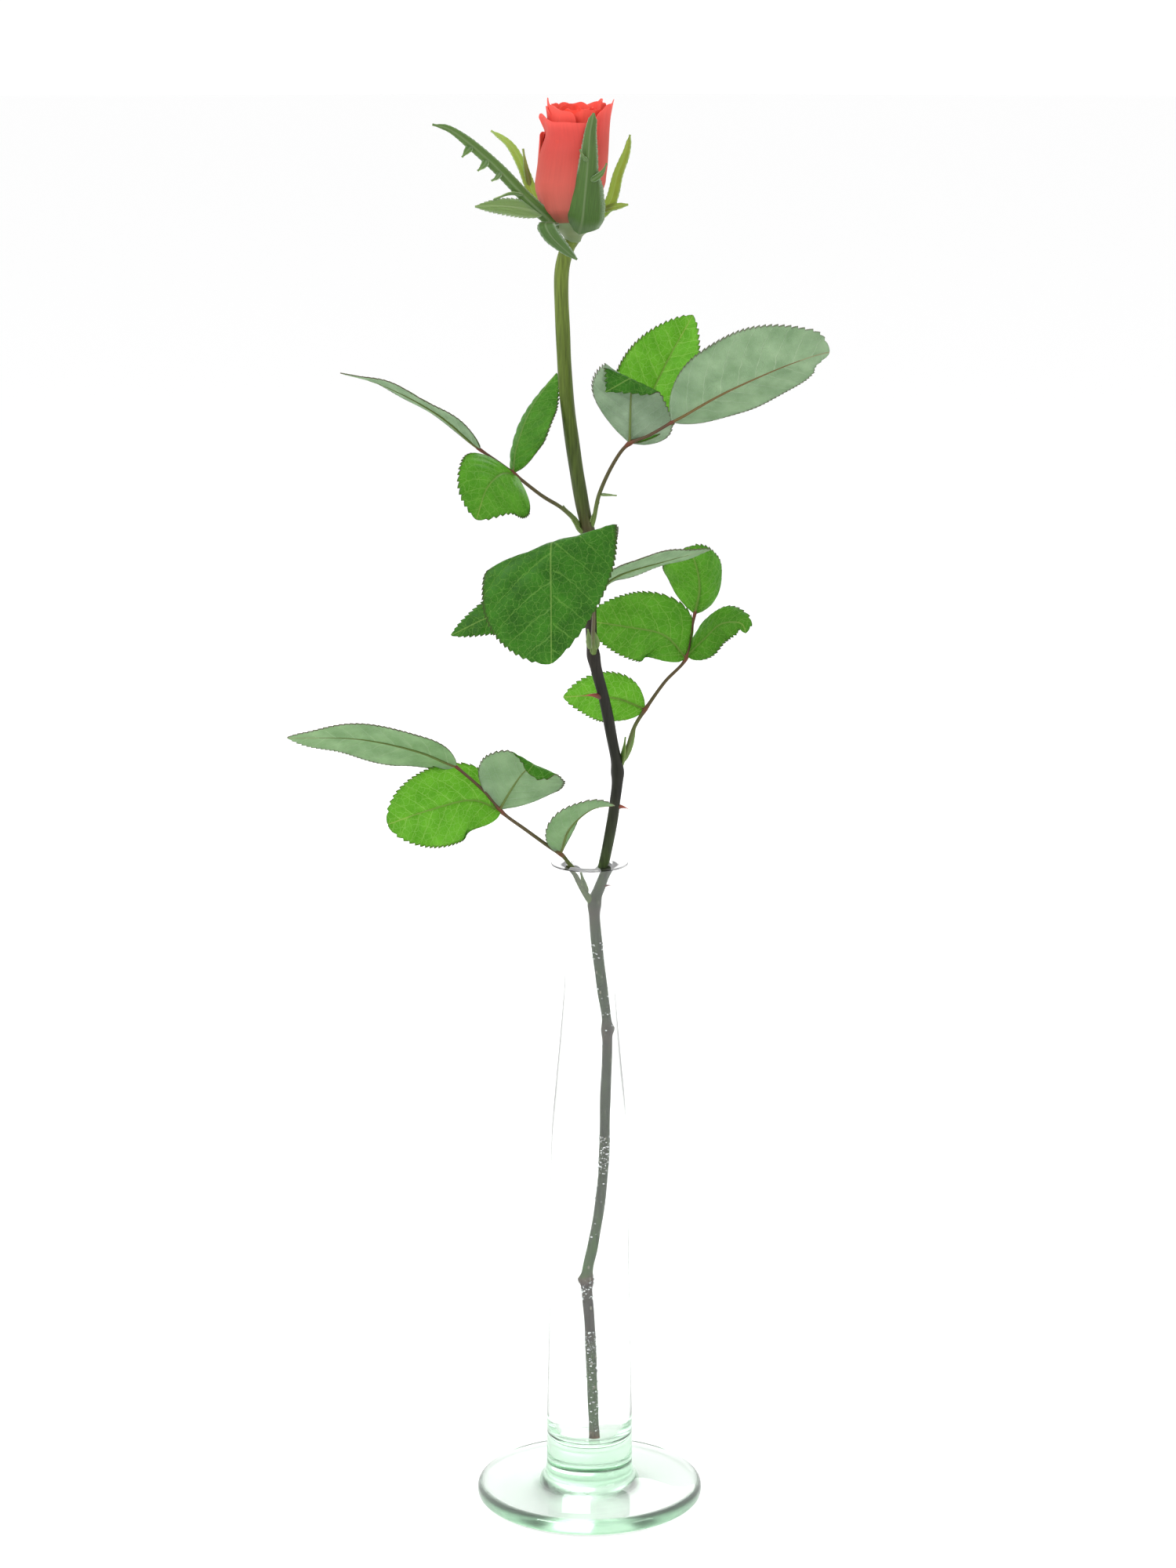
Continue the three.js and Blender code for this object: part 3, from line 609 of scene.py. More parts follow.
OLD_WOOD = (0.4, 0.5)  # shares of the whole height: pores below the first, none above the second

bark, tree = new_material("young_rose_bark")
spot = in_space(tree)
height_share = add(tree, "Math", {0: parts_of(tree, spot)["Z"], 1: 1 / (WHOLE_HEIGHT * MM)},
                   operation="MULTIPLY")
drift = noise(tree, spot, DRIFT_WIDTH * MM, 4.0)
shift = remap(tree, drift, (0, 1), (-COLOUR_DRIFT, COLOUR_DRIFT))
by_height = ramp(tree, add(tree, "Math", {0: height_share, 1: shift}),
                 [(height / WHOLE_HEIGHT, colour) for height, colour in BARK_COLOURS])
streaks = noise(tree, stretched(tree, spot, (1, 1, 1 / STREAK_LENGTH)), STREAK_WIDTH * MM, 3.0)
mottled = shaded(tree, by_height, remap(tree, streaks, (0.3, 0.7), (0.6, 1.25)))

# %% Lenticels
pores = add(tree, "TexVoronoi", {"Vector": stretched(tree, spot, (1, 1, 1 / LENTICEL_LENGTH)),
                                 "Scale": 1 / (LENTICEL_SPACING * MM)}).outputs["Distance"]
lenticels = remap(tree, pores, LENTICEL_EDGE, (0.55, 0.0))
old_wood = remap(tree, height_share, OLD_WOOD, (1.0, 0.0))
dots = add(tree, "Math", {0: lenticels, 1: old_wood}, operation="MULTIPLY")
bark_shader = add(tree, "BsdfPrincipled", {
    "Base Color": mix(tree, dots, mottled, "#A9A88E"), "Roughness": 0.5, "Specular IOR Level": 0.25,
    "Normal": dents(tree, streaks, 0.35, 0.4)})
add(tree, "OutputMaterial", {"Surface": bark_shader})

# %% [markdown]
# A thorn is horn, not wood: smoother than the bark, dark at its root and red-brown where it thins out and
# light gets into it.

# %% Thorn horn
HORN_FIBRE = 0.6667  # millimetres

horn, tree = new_material("thorn_horn")
horn_colour = ramp(tree, parts_of(tree, reading(tree, "grow"))["Y"], [(0.05, "#33221A"), (0.75, "#A0452A")])
fibres = noise(tree, in_space(tree), HORN_FIBRE * MM)
horn_shader = add(tree, "BsdfPrincipled", {"Base Color": horn_colour, "Roughness": 0.35,
                                           "Normal": dents(tree, fibres, 0.2, 0.2)})
add(tree, "OutputMaterial", {"Surface": horn_shader})
make_piece("stem_with_thorns", [stem_body, *thorns], [bark, horn], ["stem"])

# %% [markdown]
# ## Air on the wet stem
# Tap water gives off air as it warms, and the air sits on rough bark in bands and patches. Such a bubble
# mirrors the light wholly at its edge, so it reads as silver. Each is a small ball with a third of its
# width in the bark.

# %% Bubbles
BUBBLE_BANDS = [(203, 209, 60), (170, 200, 40), (124, 138, 260), (100, 122, 40), (76, 85, 130),
                (56, 64, 130), (36, 56, 120), (25, 36, 60)]  # lowest, highest and how many
BUBBLE_RADIUS = (0.10, 0.36)
BUBBLE_OUT = 0.3  # how much of its radius lies between the bark and its middle
BUBBLE_ROWS, BUBBLE_SIDES = 7, 10
random = np.random.default_rng(41)

tilt = np.linspace(0, math.pi, BUBBLE_ROWS + 1)
ball = turned(np.column_stack([np.sin(tilt), -np.cos(tilt)]), sides=BUBBLE_SIDES)
bubbles = []
for low, high, count in BUBBLE_BANDS:
    band = [random.uniform(*ends, count) for ends in ((low, high), (-math.pi, math.pi), (0, 1))]
    for height, turn, size in zip(*band):
        radius = BUBBLE_RADIUS[0] + (BUBBLE_RADIUS[1] - BUBBLE_RADIUS[0]) * size ** 3
        middle = np.array([np.interp(height, heights, stem_line[:, k]) for k in range(3)])
        reach = np.interp(height, heights, stem_radii) + BUBBLE_OUT * radius
        centre = middle + reach * np.array([math.cos(turn), math.sin(turn), 0])
        bubbles.append(dict(ball, points=ball["points"] * radius + centre))

# %% Air in water
SHIMMER = 3000.0  # cells of uneven brightness over all the bubbles together

air, tree = new_material("air_bubble_in_water")
shimmer = add(tree, "TexNoise", {"Scale": SHIMMER})
air_shader = add(tree, "BsdfPrincipled", {"Base Color": mix(tree, shimmer, "#DDE6E4", "#FFFFFF"),
                                          "Roughness": 0.12, "Metallic": 0.75})
add(tree, "OutputMaterial", {"Surface": air_shader})
make_piece("air_bubbles", bubbles, [air])

# %% [markdown]
# ## Leaf blades
# A rose leaflet is a thin sheet hung on a midrib. It is oval with a pointed tip, its margin is cut into saw
# teeth that lean towards the tip, and side veins leave the midrib at a slant and bend forward. The sheet is
# worked out as a grid: rows follow the teeth, columns run out from the midrib.

# %% Outlines and teeth
TOOTH_STEPS = np.array([0, 0.3, 0.6, 0.88])  # rows within a tooth, from its notch to its point
TOOTH_REACHES = np.array([-1, -0.2, 0.35, 0.75])
TOOTH_LEAN = np.array([0, 0.25, 0.6, 1.05])
FLAT_ACROSS = np.array([0.035, 0.09, 0.17, 0.26, 0.36, 0.46, 0.56, 0.66, 0.76, 0.85, 0.92, 0.965, 1])
ACROSS = np.concatenate([-FLAT_ACROSS[::-1], [0], FLAT_ACROSS])


def shape_of(base, tip):
    """An outline: width as a share of the widest, from 0 at the base to 1 at the tip."""
    peak = base / (base + tip)
    top = peak ** base * (1 - peak) ** tip
    return lambda s: np.clip(s, 0, 1) ** base * (1 - np.clip(s, 0, 1)) ** tip / top


OVATE = shape_of(0.5, 0.8)
BROAD = shape_of(0.5, 0.58)
LATE = shape_of(0.9, 0.66)
POINTED = shape_of(0.5, 1.1)
LANCE = shape_of(0.32, 1.15)


def toothed_rows(length, tooth_length):
    """Where the rows are along the rib, and how far out and ahead the tooth reaches in each."""
    teeth = max(3, round(length / tooth_length))
    rows = np.append((np.arange(teeth)[:, None] + TOOTH_STEPS).ravel() / teeth, 1.0)
    return rows, *(np.append(np.tile(kind, teeth), 0)[:, None] for kind in (TOOTH_REACHES, TOOTH_LEAN))


print("blade grid:", len(ACROSS), "columns")

# %% [markdown]
# Each half of a blade can be folded up from the midrib, rolled towards its margin and drawn forward, and
# the rib itself can bend right over, as some of these leaves do. A rolled half is an arc of a circle:
# `fold` is the angle at which it leaves the rib, and `roll` how much further it has turned at the margin.
# `bite` is the depth of the teeth and `wave` the height of the ripples along the margin.

# %% Folding and rolling
SMALLEST_HALF_WIDTH = 0.3
MARGIN_START = 0.78  # share of the half-width where the teeth begin to show
VEIN_SWEEP = 0.3  # how far ahead the base of a blade is drawn for each millimetre out
RIPPLES = 1.6  # waves along one margin


def turned_to(normal, forward, goal):
    """Turns a carried direction about its line, where the line bends, until it ends as the goal."""
    if goal is None:
        return normal
    last, way = normal[-1], forward[-1]
    off = math.atan2(np.cross(last, goal).dot(way), last.dot(goal))
    bends = np.linalg.norm(np.diff(forward, axis=0), axis=1) + 1e-4
    share = np.concatenate([[0], np.cumsum(bends)])[:, None] / bends.sum()
    return normal * np.cos(off * share) + np.cross(forward, normal) * np.sin(off * share)


def rolled(reach, start, bend, away, tooth):
    """How far out and up a half goes that leaves the rib at an angle and bends towards its margin."""
    turn = start + bend * away
    return (reach * (np.sin(turn) - np.sin(start)) / bend + tooth * np.cos(turn),
            reach * (np.cos(start) - np.cos(turn)) / bend + tooth * np.sin(turn))


# %% [markdown]
# Between the side veins the blade puffs up a little, because it grows faster than they do. How far a point
# is between two veins is worked out in the flat leaf, and goes along with it for the finishes to read.

# %% Puffed up between the veins
VEIN_SLANT, VEIN_CURVE = 0.62, 0.016  # how far ahead a side vein runs per millimetre out, and how it bends
VEIN_FURROW = 0.17  # half the width of the furrow over a vein, as a share of the way to the next
PUFF = 0.42  # how far the blade rises between two side veins
BULGE, BULGE_OUT, BULGE_ON = 0.3, 3.7, 5.3  # height of the larger bulges, and their size out and along
RIB_FREE, RIB_CLEAR = 2.5, 5  # millimetres from the midrib over which puffs and bulges start


def puffed(s, v, flat_out, flat_on, step, puff, margin, phases):
    """How high each point rises off the sheet, and its place between the side veins."""
    vein = (flat_on - VEIN_SLANT * flat_out - VEIN_CURVE * flat_out ** 2) / step + np.where(v < 0, 0.5, 0)
    furrow = np.exp(-((vein - np.round(vein)) / VEIN_FURROW) ** 2)
    quilt = puff * (1 - furrow) * np.clip(flat_out / RIB_FREE, 0, 1) * (1 - margin) * (1 - s ** 3)
    bulge = BULGE * np.sin(flat_out / BULGE_OUT + phases[0]) * np.sin(flat_on / BULGE_ON + phases[1])
    return quilt + bulge * np.clip(flat_out / RIB_CLEAR, 0, 1), vein


# %% A blade
LEAF_THICKNESS = 0.34


def blade(rib, up, left, right, fold=(0, 0), roll=(0, 0), up_tip=None, slant=(0, 0), outline=OVATE,
          tooth_length=1.8, bite=0.42, veins=8, wave=0.5, thickness=LEAF_THICKNESS, puff=PUFF,
          finish=(0, 1, 2), glow=0.5):
    """A leaf blade along its midrib: upper face, underside and margin."""
    _, length = line_through(rib, [0, 1])
    rows, cut, lean = toothed_rows(length, tooth_length)
    centre, _ = line_through(rib, rows)
    forward = unit(np.gradient(centre, rows, axis=0))
    raised = turned_to(carried(up, forward), forward, up_tip)
    sideways = np.cross(forward, raised)

    s, v = rows[:, None], ACROSS[None, :]
    away = np.abs(v)
    widest, start, bend, draw = (np.where(v < 0, a, b) for a, b in (
        (left, right), np.radians(fold), np.radians(roll) + 1e-6, slant))
    reach = np.maximum(SMALLEST_HALF_WIDTH, widest * outline(s))
    margin = np.clip((away - MARGIN_START) / (1 - MARGIN_START), 0, 1) ** 2
    room = bite * np.minimum(1, 6 * s) * np.minimum(1, reach / 3) * margin
    out, rise = rolled(reach, start, bend, away, cut * room)
    phases = random.uniform(0, 2 * math.pi, 4)
    ripple = np.sin(2 * math.pi * RIPPLES * s + np.where(v < 0, phases[0], phases[1]))
    rise = rise + wave * away ** 2 * np.minimum(1, reach / 6) * ripple * np.sin(math.pi * s)
    ahead = (VEIN_SWEEP * (1 - s) + draw) * out + lean * room
    sheet = (centre[:, None] + forward[:, None] * ahead[..., None] + raised[:, None] * rise[..., None]
             + sideways[:, None] * (np.sign(v) * out)[..., None])

    flat_out = reach * away + cut * room
    flat_on = s * length + (VEIN_SWEEP * (1 - s) + draw) * flat_out
    height, vein = puffed(s, v, flat_out, flat_on, length / (veins + 1), puff, margin, phases[2:])
    one = np.ones(vein.shape)
    return slab(sheet, height, thickness / 2, finish, np.stack([np.sign(v) * flat_out, flat_on, vein], -1),
                np.stack([away * one, s * one, glow * one], -1))


# %% [markdown]
# ## Leaf finishes
# A leaf is never one green. The upper face is a waxy dark green with paler veins, and the underside is matt
# and grey-green because of the wax bloom there. Both let yellow-green light through, and then the veins
# stand out more. So each finish has two shaders: a waxy surface, and a translucent one with a stronger vein
# pattern. Light that comes through is filtered at both faces, so the colours of the translucent one are
# very pale. The vein pattern has three sizes: the midrib, the side veins from the same numbers that puff
# the blade, and a net with meshes 2.4 mm and 0.9 mm wide, the edges of the cells of a Voronoi pattern.

# %% Vein patterns
MIDRIB_CORE, MIDRIB_EDGE = 0.12, (0.62, 0.22)  # half-widths in millimetres; the edge at the base and tip
SIDE_CORE, SIDE_EDGE = 0.008, (0.06, 0.02)  # shares of the way to the next; the edge at the rib and margin
WOBBLE_WIDTH, WOBBLE = 2.857, 0.12  # side veins waver over so many millimetres, by this share
SHAKE_WIDTH, SHAKE = 1.667, 1.4  # and the net over so many, by so many
NETS = {"net": (2.4, 0.07), "fine": (0.9, 0.11)}  # width of a mesh, and its thread as a share of that


def vein_masks(tree):
    """How much of each point is midrib, side vein and net, and the readings of its place."""
    place = reading(tree, "place")
    edge, tip, glow = parts_of(tree, reading(tree, "grow"))
    across, along, vein = parts_of(tree, place)
    beside = add(tree, "Math", {0: across}, operation="ABSOLUTE")
    midrib_edge = remap(tree, tip, (0, 1), MIDRIB_EDGE)
    wobble = remap(tree, noise(tree, place, WOBBLE_WIDTH), (0, 1), (-WOBBLE, WOBBLE))
    off = add(tree, "Math", {0: add(tree, "Math", {0: vein, 1: wobble}), 1: 0.5}, operation="PINGPONG")
    side_edge = remap(tree, edge, (0, 1), SIDE_EDGE)
    flat = add(tree, "CombineXYZ", {0: across, 1: along}).outputs[0]
    shake = add(tree, "TexNoise", {"Vector": flat, "Scale": 1 / SHAKE_WIDTH}).outputs["Color"]
    shaken = add(tree, "VectorMath", {0: flat, 1: shaded(tree, shake, SHAKE)})
    masks = {"edge": edge, "tip": tip, "glow": glow, "flat": flat,
             "midrib": remap(tree, beside, (MIDRIB_CORE, midrib_edge), (1, 0), smooth=True),
             "side": remap(tree, off, (SIDE_CORE, side_edge), (1, 0), smooth=True)}
    for name, (mesh, thread) in NETS.items():
        cells = add(tree, "TexVoronoi", {"Vector": shaken, "Scale": 1 / mesh}, feature="DISTANCE_TO_EDGE",
                    voronoi_dimensions="2D").outputs["Distance"]
        masks[name] = remap(tree, cells, (0, thread), (1, 0), smooth=True)
    return masks


# %% Colour and relief of a leaf
PATCH_WIDTH = 7.69  # millimetres of a darker or lighter patch
RIM_START, RIM_STRENGTH = 0.955, 0.8  # where the coloured margin starts, and how much it colours the edge
NET_RELIEF, FINE_RELIEF = 0.45, 0.2  # as shares of the relief of the large veins


def leaf_colour(tree, masks, dark, light, vein, rib, strengths, rim):
    """Mottled green, crossed by veins of four strengths, with a coloured margin."""
    patches = noise(tree, masks["flat"], PATCH_WIDTH, 3.0)
    colour = mix(tree, remap(tree, patches, (0.3, 0.7)), dark, light)
    for mask, paint, strength in zip(("fine", "net", "side", "midrib"), (vein, vein, vein, rib), strengths):
        amount = add(tree, "Math", {0: masks[mask], 1: strength}, operation="MULTIPLY")
        colour = mix(tree, amount, colour, paint)
    return mix(tree, remap(tree, masks["edge"], (RIM_START, 1), (0, RIM_STRENGTH)), colour, rim)


def vein_relief(tree, masks, depth):
    """Veins as a height in millimetres: sunk on the upper face, raised on the underside."""
    large = add(tree, "Math", {0: masks["midrib"], 1: masks["side"]}, operation="MAXIMUM")
    small = add(tree, "Math", {0: masks["net"], 1: NET_RELIEF, 2: large}, operation="MULTIPLY_ADD")
    both = add(tree, "Math", {0: masks["fine"], 1: FINE_RELIEF, 2: small}, operation="MULTIPLY_ADD")
    return dents(tree, both, 0.6, depth)


def leaf_face(name, seen, through, depth, roughness, ior, specular):
    """One face of a leaf: what is seen by light that falls on it, and by light that comes through."""
    material, tree = new_material(name)
    masks = vein_masks(tree)
    skin = add(tree, "BsdfPrincipled", {
        "Base Color": leaf_colour(tree, masks, *seen), "Roughness": roughness, "IOR": ior,
        "Specular IOR Level": specular, "Normal": vein_relief(tree, masks, depth)})
    leafy = thin_sheet(tree, skin, masks["glow"], leaf_colour(tree, masks, *through))
    add(tree, "OutputMaterial", {"Surface": leafy})
    return material


# %% Waxy upper face
upper = leaf_face(
    "rose_leaf_upper_face_waxy",
    ("#1E4E0A", "#306C14", "#6A9C3C", "#7AA04A", (0.2, 0.42, 0.42, 0.6), "#3A3520"),
    ("#96DC4C", "#B0EE66", "#E4FFAE", "#E8F4A8", (0.25, 0.5, 0.7, 0.8), "#8A8A50"),
    depth=-0.3, roughness=0.42, ior=1.45, specular=0.22)

# %% Matt underside
under = leaf_face(
    "rose_leaf_underside_matt",
    ("#7A9276", "#9EB498", "#B4C6AE", "#A08A70", (0.06, 0.16, 0.5, 0.7), "#54403A"),
    ("#B4D890", "#C8E8A8", "#DCF0C4", "#CCBC98", (0.1, 0.25, 0.4, 0.6), "#8A7460"),
    depth=0.35, roughness=0.6, ior=1.4, specular=0.25)

# %% [markdown]
# The cut edge of a young rose leaf is stained purple, and the stalks run from pale green at the stem to
# brown-red at the joints, where the leaflets hinge. The stalk finish reads how near a joint is from `grow`.

# %% Stained margin and thin stipule
STAIN_WIDTH = 3.333  # millimetres

edge, tree = new_material("rose_leaf_margin_stained")
stain = noise(tree, reading(tree, "place"), STAIN_WIDTH)
edge_shader = add(tree, "BsdfPrincipled", {"Base Color": mix(tree, stain, "#4C2C26", "#44582A"),
                                           "Roughness": 0.6})
add(tree, "OutputMaterial", {"Surface": edge_shader})

stipule_skin, tree = new_material("rose_stipule_thin")
to_edge = parts_of(tree, reading(tree, "grow"))["X"]
stipule_shader = add(tree, "BsdfPrincipled", {"Base Color": mix(tree, to_edge, "#5C7A36", "#8CA062"),
                                              "Roughness": 0.5})
add(tree, "OutputMaterial", {"Surface": thin_sheet(tree, stipule_shader, 0.4, "#8CB04E")})

# %% Stalk
STALK_COLOURS = [(0.0, "#647E3C"), (0.35, "#4E4A2C"), (1.0, "#553A2C")]
STALK_LINES = (3.2, 0.56, 1)  # how many for each radian round the stalk and each millimetre along it

stalk_skin, tree = new_material("rose_leaf_stalk_skin")
near_joint, to_tip, _ = parts_of(tree, reading(tree, "grow"))
lines = noise(tree, stretched(tree, reading(tree, "place"), STALK_LINES), 1)
lined = shaded(tree, ramp(tree, to_tip, STALK_COLOURS), remap(tree, lines, (0.3, 0.7), (0.75, 1.25)))
stalk_shader = add(tree, "BsdfPrincipled", {"Base Color": mix(tree, near_joint, lined, "#6C3626"),
                                            "Roughness": 0.5, "Specular IOR Level": 0.25})
add(tree, "OutputMaterial", {"Surface": stalk_shader})
LEAF_FINISHES = [upper, under, edge, stalk_skin, stipule_skin]
STALK, STIPULE = 3, 4

# %% [markdown]
# ## The five leaves
# Each compound leaf is its stalk, one or two narrow stipules at the foot and three or four leaflets. The
# numbers are the midribs as they run through space, the way the upper face looks at the base (`up`) and at
# the tip (`up_tip`), the half-widths left and right, and how far each half is folded, rolled and slanted.
# `glow` is the share of the light that comes through.

# %% Where every leaflet goes
LEAVES = {
    "leaf_top_right": {
        "stalk": [(-0.6, 1.8, 355.5), (1.4, 0.6, 360), (3.4, -3, 369.5), (8.1, -8, 380.5),
                  (13.1, -12, 387.7), (20.3, -15, 391.2), (29.2, -18, 396.8)],
        "stipules": [
            {"rib": [(3.2, -2.8, 369.2), (6, -3.4, 369.2), (9.4, -4, 369)], "up": (0, -0.3, 1),
             "width": 1},
            {"rib": [(0.6, 1, 357.5), (1.6, 0.2, 361.5), (3.2, -1.4, 366.4)], "up": (0.6, -0.6, 0.2),
             "width": 1.2},
        ],
        "leaflets": [
            {"rib": [(28.2, -18, 396.2), (44.5, -25, 406.4), (62, -30, 415), (74, -31, 419.6),
                     (80.6, -28, 421)], "up": (-0.24, 0.88, 0.4), "left": 15, "right": 18,
             "fold": (12, 14), "roll": (6, 8), "outline": BROAD, "glow": 0.3, "red": 1},
            {"rib": [(13.4, -12, 389), (13.9, -15.5, 400.6), (14.2, -18, 409.5), (13.9, -19.3, 411),
                     (12.4, -20.6, 410.6), (8.9, -21.2, 408.7), (5.4, -21.6, 406.8)],
             "up": (-0.1, 1, 0.25), "up_tip": (0, -1, 0), "left": 14.5, "right": 13.5,
             "slant": (-0.5, 0.6), "fold": (-4, -4), "outline": POINTED, "glow": 0.2},
            {"rib": [(13.7, -11, 388.9), (19.6, -6, 401), (27.7, -1, 417), (35.5, 3, 430.4)],
             "up": (0.35, -0.95, 0.2), "left": 15, "right": 14, "fold": (6, 30), "roll": (-8, 10),
             "glow": 0.62},
        ],
    },
    "leaf_top_left": {
        "stalk": [(-0.6, 1.8, 354.6), (-3.6, 0.2, 356.6), (-5.6, -1, 360.4), (-10, -3, 364.8),
                  (-16.8, -5.4, 369.4), (-26.2, -8, 377.2), (-31.2, -9, 381.1), (-38.6, -10, 386.4)],
        "stipules": [
            {"rib": [(-2.6, 0.8, 355.4), (-5.4, -0.8, 360.2), (-9.2, -2.4, 365.2)],
             "up": (0.5, -0.6, 0.6), "width": 1.6},
        ],
        "leaflets": [
            {"rib": [(-37.9, -10, 385.6), (-51.4, -12.6, 398), (-69.3, -15.6, 408), (-84.6, -18, 412.8)],
             "up": (0.5, 0.3, 0.81), "up_tip": (0.42, 0.2, 0.88), "left": 11, "right": 11, "fold": (3, 3),
             "glow": 0.3},
            {"rib": [(-26.2, -8, 377.7), (-25, -5, 386), (-20, 1, 398.6), (-11.4, 7.6, 410)],
             "up": (-0.62, -0.78, 0.2), "left": 10.5, "right": 11, "fold": (-26, -8), "roll": (-34, 0),
             "glow": 0.4},
            {"rib": [(-26, -8.6, 376.6), (-30.4, -20, 378.4), (-35, -30, 374.6), (-38.2, -36.4, 365.4)],
             "up": (0.4, -0.6, 0.7), "left": 17, "right": 13, "fold": (2, 2), "roll": (-12, -24),
             "glow": 0.5},
        ],
    },
    "leaf_front": {
        "stalk": [(1.4, 0, 312.4), (1.3, -5, 316), (1.2, -12, 322), (1.4, -22, 330.4), (1, -31, 337.6),
                  (-0.6, -38.6, 343)],
        "stipules": [
            {"rib": [(1.2, -1.6, 313), (0.2, -4.6, 317.6), (-0.6, -7.6, 322.8)], "up": (-0.5, -0.8, 0.2),
             "width": 2},
            {"rib": [(1.6, -1.6, 313), (2, -4.6, 317.6), (1.4, -7.6, 322.8)], "up": (0.5, -0.8, 0.2),
             "width": 2},
        ],
        "leaflets": [
            {"rib": [(-0.6, -38.6, 343), (-5.6, -47, 353.2), (-10.6, -56, 360), (-12.4, -60.6, 361.1),
                     (-12.9, -63.6, 357.7), (-12.8, -67, 344.2), (-12.7, -70.6, 322.4)],
             "up": (-0.36, 0.66, 0.62), "up_tip": (0, -1, 0.05), "left": 22, "right": 23,
             "slant": (-0.6, 0.2), "fold": (-3, -3), "roll": (-6, -6), "outline": LATE, "veins": 7,
             "glow": 0.18},
            {"rib": [(1, -31, 337.6), (-12, -33.4, 338), (-31, -38, 333.6), (-46.8, -41, 326.6)],
             "up": (-0.3, -0.75, 0.6), "left": 8.5, "right": 8.5, "fold": (-6, 0), "roll": (-10, -8),
             "glow": 0.15},
            {"rib": [(1, -31, 337.6), (9, -29.4, 345), (25.4, -26, 349.6), (41.4, -22, 353)],
             "up": (0, 0.34, 0.94), "left": 10.5, "right": 10.5, "fold": (5, 2), "glow": 0.3},
        ],
    },
    "leaf_right": {
        "stalk": [(9.9, 2.2, 270.4), (12.8, 3, 276.8), (15.7, 5, 285.4), (19.6, 7, 291.5), (26.5, 9, 301),
                  (33.7, 11, 308.5), (35.4, 12, 316.7), (37.2, 13, 325.4)],
        "stipules": [
            {"rib": [(11.4, 2, 272), (12, 1.6, 277.6), (12.6, 1.6, 282.8)], "up": (-0.8, -0.6, 0),
             "width": 1.3},
            {"rib": [(11.8, 3, 272.6), (14.4, 4, 279.6), (16.4, 5.2, 286.6)], "up": (0.6, -0.7, 0.2),
             "width": 1.5},
        ],
        "leaflets": [
            {"rib": [(37, 13, 325), (38.6, 12, 333), (37.6, 8, 341.6), (34.6, 3, 350)],
             "up": (-0.3, -0.9, 0.3), "left": 14, "right": 12, "fold": (0, -40), "roll": (-6, -60),
             "glow": 0.5},
            {"rib": [(33.2, 11, 309.4), (26, 9, 317.8), (12.5, 10, 320.6), (-2.6, 12, 322.6)],
             "up": (0.1, -0.95, 0.25), "left": 11.5, "right": 13.5, "fold": (4, 0), "roll": (-14, -10),
             "puff": 0.7, "glow": 0.48},
            {"rib": [(35, 11, 309.4), (40.4, 7, 316.8), (46, 3.6, 322.6), (52.6, 0, 323.6),
                     (54.6, -1.4, 320.4)], "up": (-0.5, -0.66, 0.5), "left": 10, "right": 7.5,
             "fold": (-8, -12), "roll": (-30, 0), "glow": 0.4},
            {"rib": [(19, 7, 292.2), (10.5, 9, 294.8), (0.8, 11, 295.6), (-9.3, 12, 295)],
             "up": (0, -0.98, 0.2), "left": 9, "right": 9, "fold": (6, 6), "glow": 0.62},
        ],
    },
    "leaf_lower_left": {
        "stalk": [(0.8, 0.2, 223.6), (-1.6, -1, 227.8), (-3.1, -1.6, 231.4), (-4.4, -2, 234.6),
                  (-7, -2.4, 237.6), (-9.7, -4, 241.4), (-14.3, -6, 245), (-22.5, -9, 251.8),
                  (-30.7, -12, 258.8), (-37.4, -14, 267.3), (-47, -16, 276.4)],
        "stipules": [
            {"rib": [(-0.4, -1.2, 226.6), (-1.8, -1.8, 231), (-2.6, -2.2, 235.4)], "up": (0.4, -0.9, 0),
             "width": 1.1},
        ],
        "leaflets": [
            {"rib": [(-46.2, -16, 275.8), (-60.2, -20, 282.4), (-80.3, -24, 287.4), (-104, -27, 288.4)],
             "up": (0.1, 0.85, 0.5), "left": 13, "right": 13.5, "fold": (-20, 14), "glow": 0.4},
            {"rib": [(-31.2, -12.4, 259), (-41, -17, 264), (-55, -20, 261.4), (-70, -22, 256.6)],
             "up": (-0.1, -0.8, 0.6), "left": 14.5, "right": 14.5, "fold": (4, 4), "roll": (-8, -8),
             "outline": BROAD, "glow": 0.62},
            {"rib": [(-30.4, -12, 260.4), (-27.6, -14, 266.8), (-23.6, -16.6, 273.2), (-20, -19.6, 277.2),
                     (-19.6, -22, 277.6), (-21.4, -24, 275.6)], "up": (0.05, 0.96, 0.28), "left": 14.5,
             "right": 14.5, "slant": (0.4, 0), "fold": (-4, -4), "glow": 0.35},
            {"rib": [(-9.8, -4.4, 243), (-7.2, -9, 252), (0.4, -11.4, 259.4), (8.8, -12.4, 261.2)],
             "up": (-0.4, 0.3, 0.86), "left": 8.5, "right": 8.5, "fold": (22, 22), "glow": 0.4},
        ],
    },
}

# %% [markdown]
# A midrib is a ridge under the blade that thins out towards the tip. It is laid in as a tapered bar, so it
# shows in the mesh and not only in the shading, and at its thick end it is the little stalk that joins the
# leaflet.

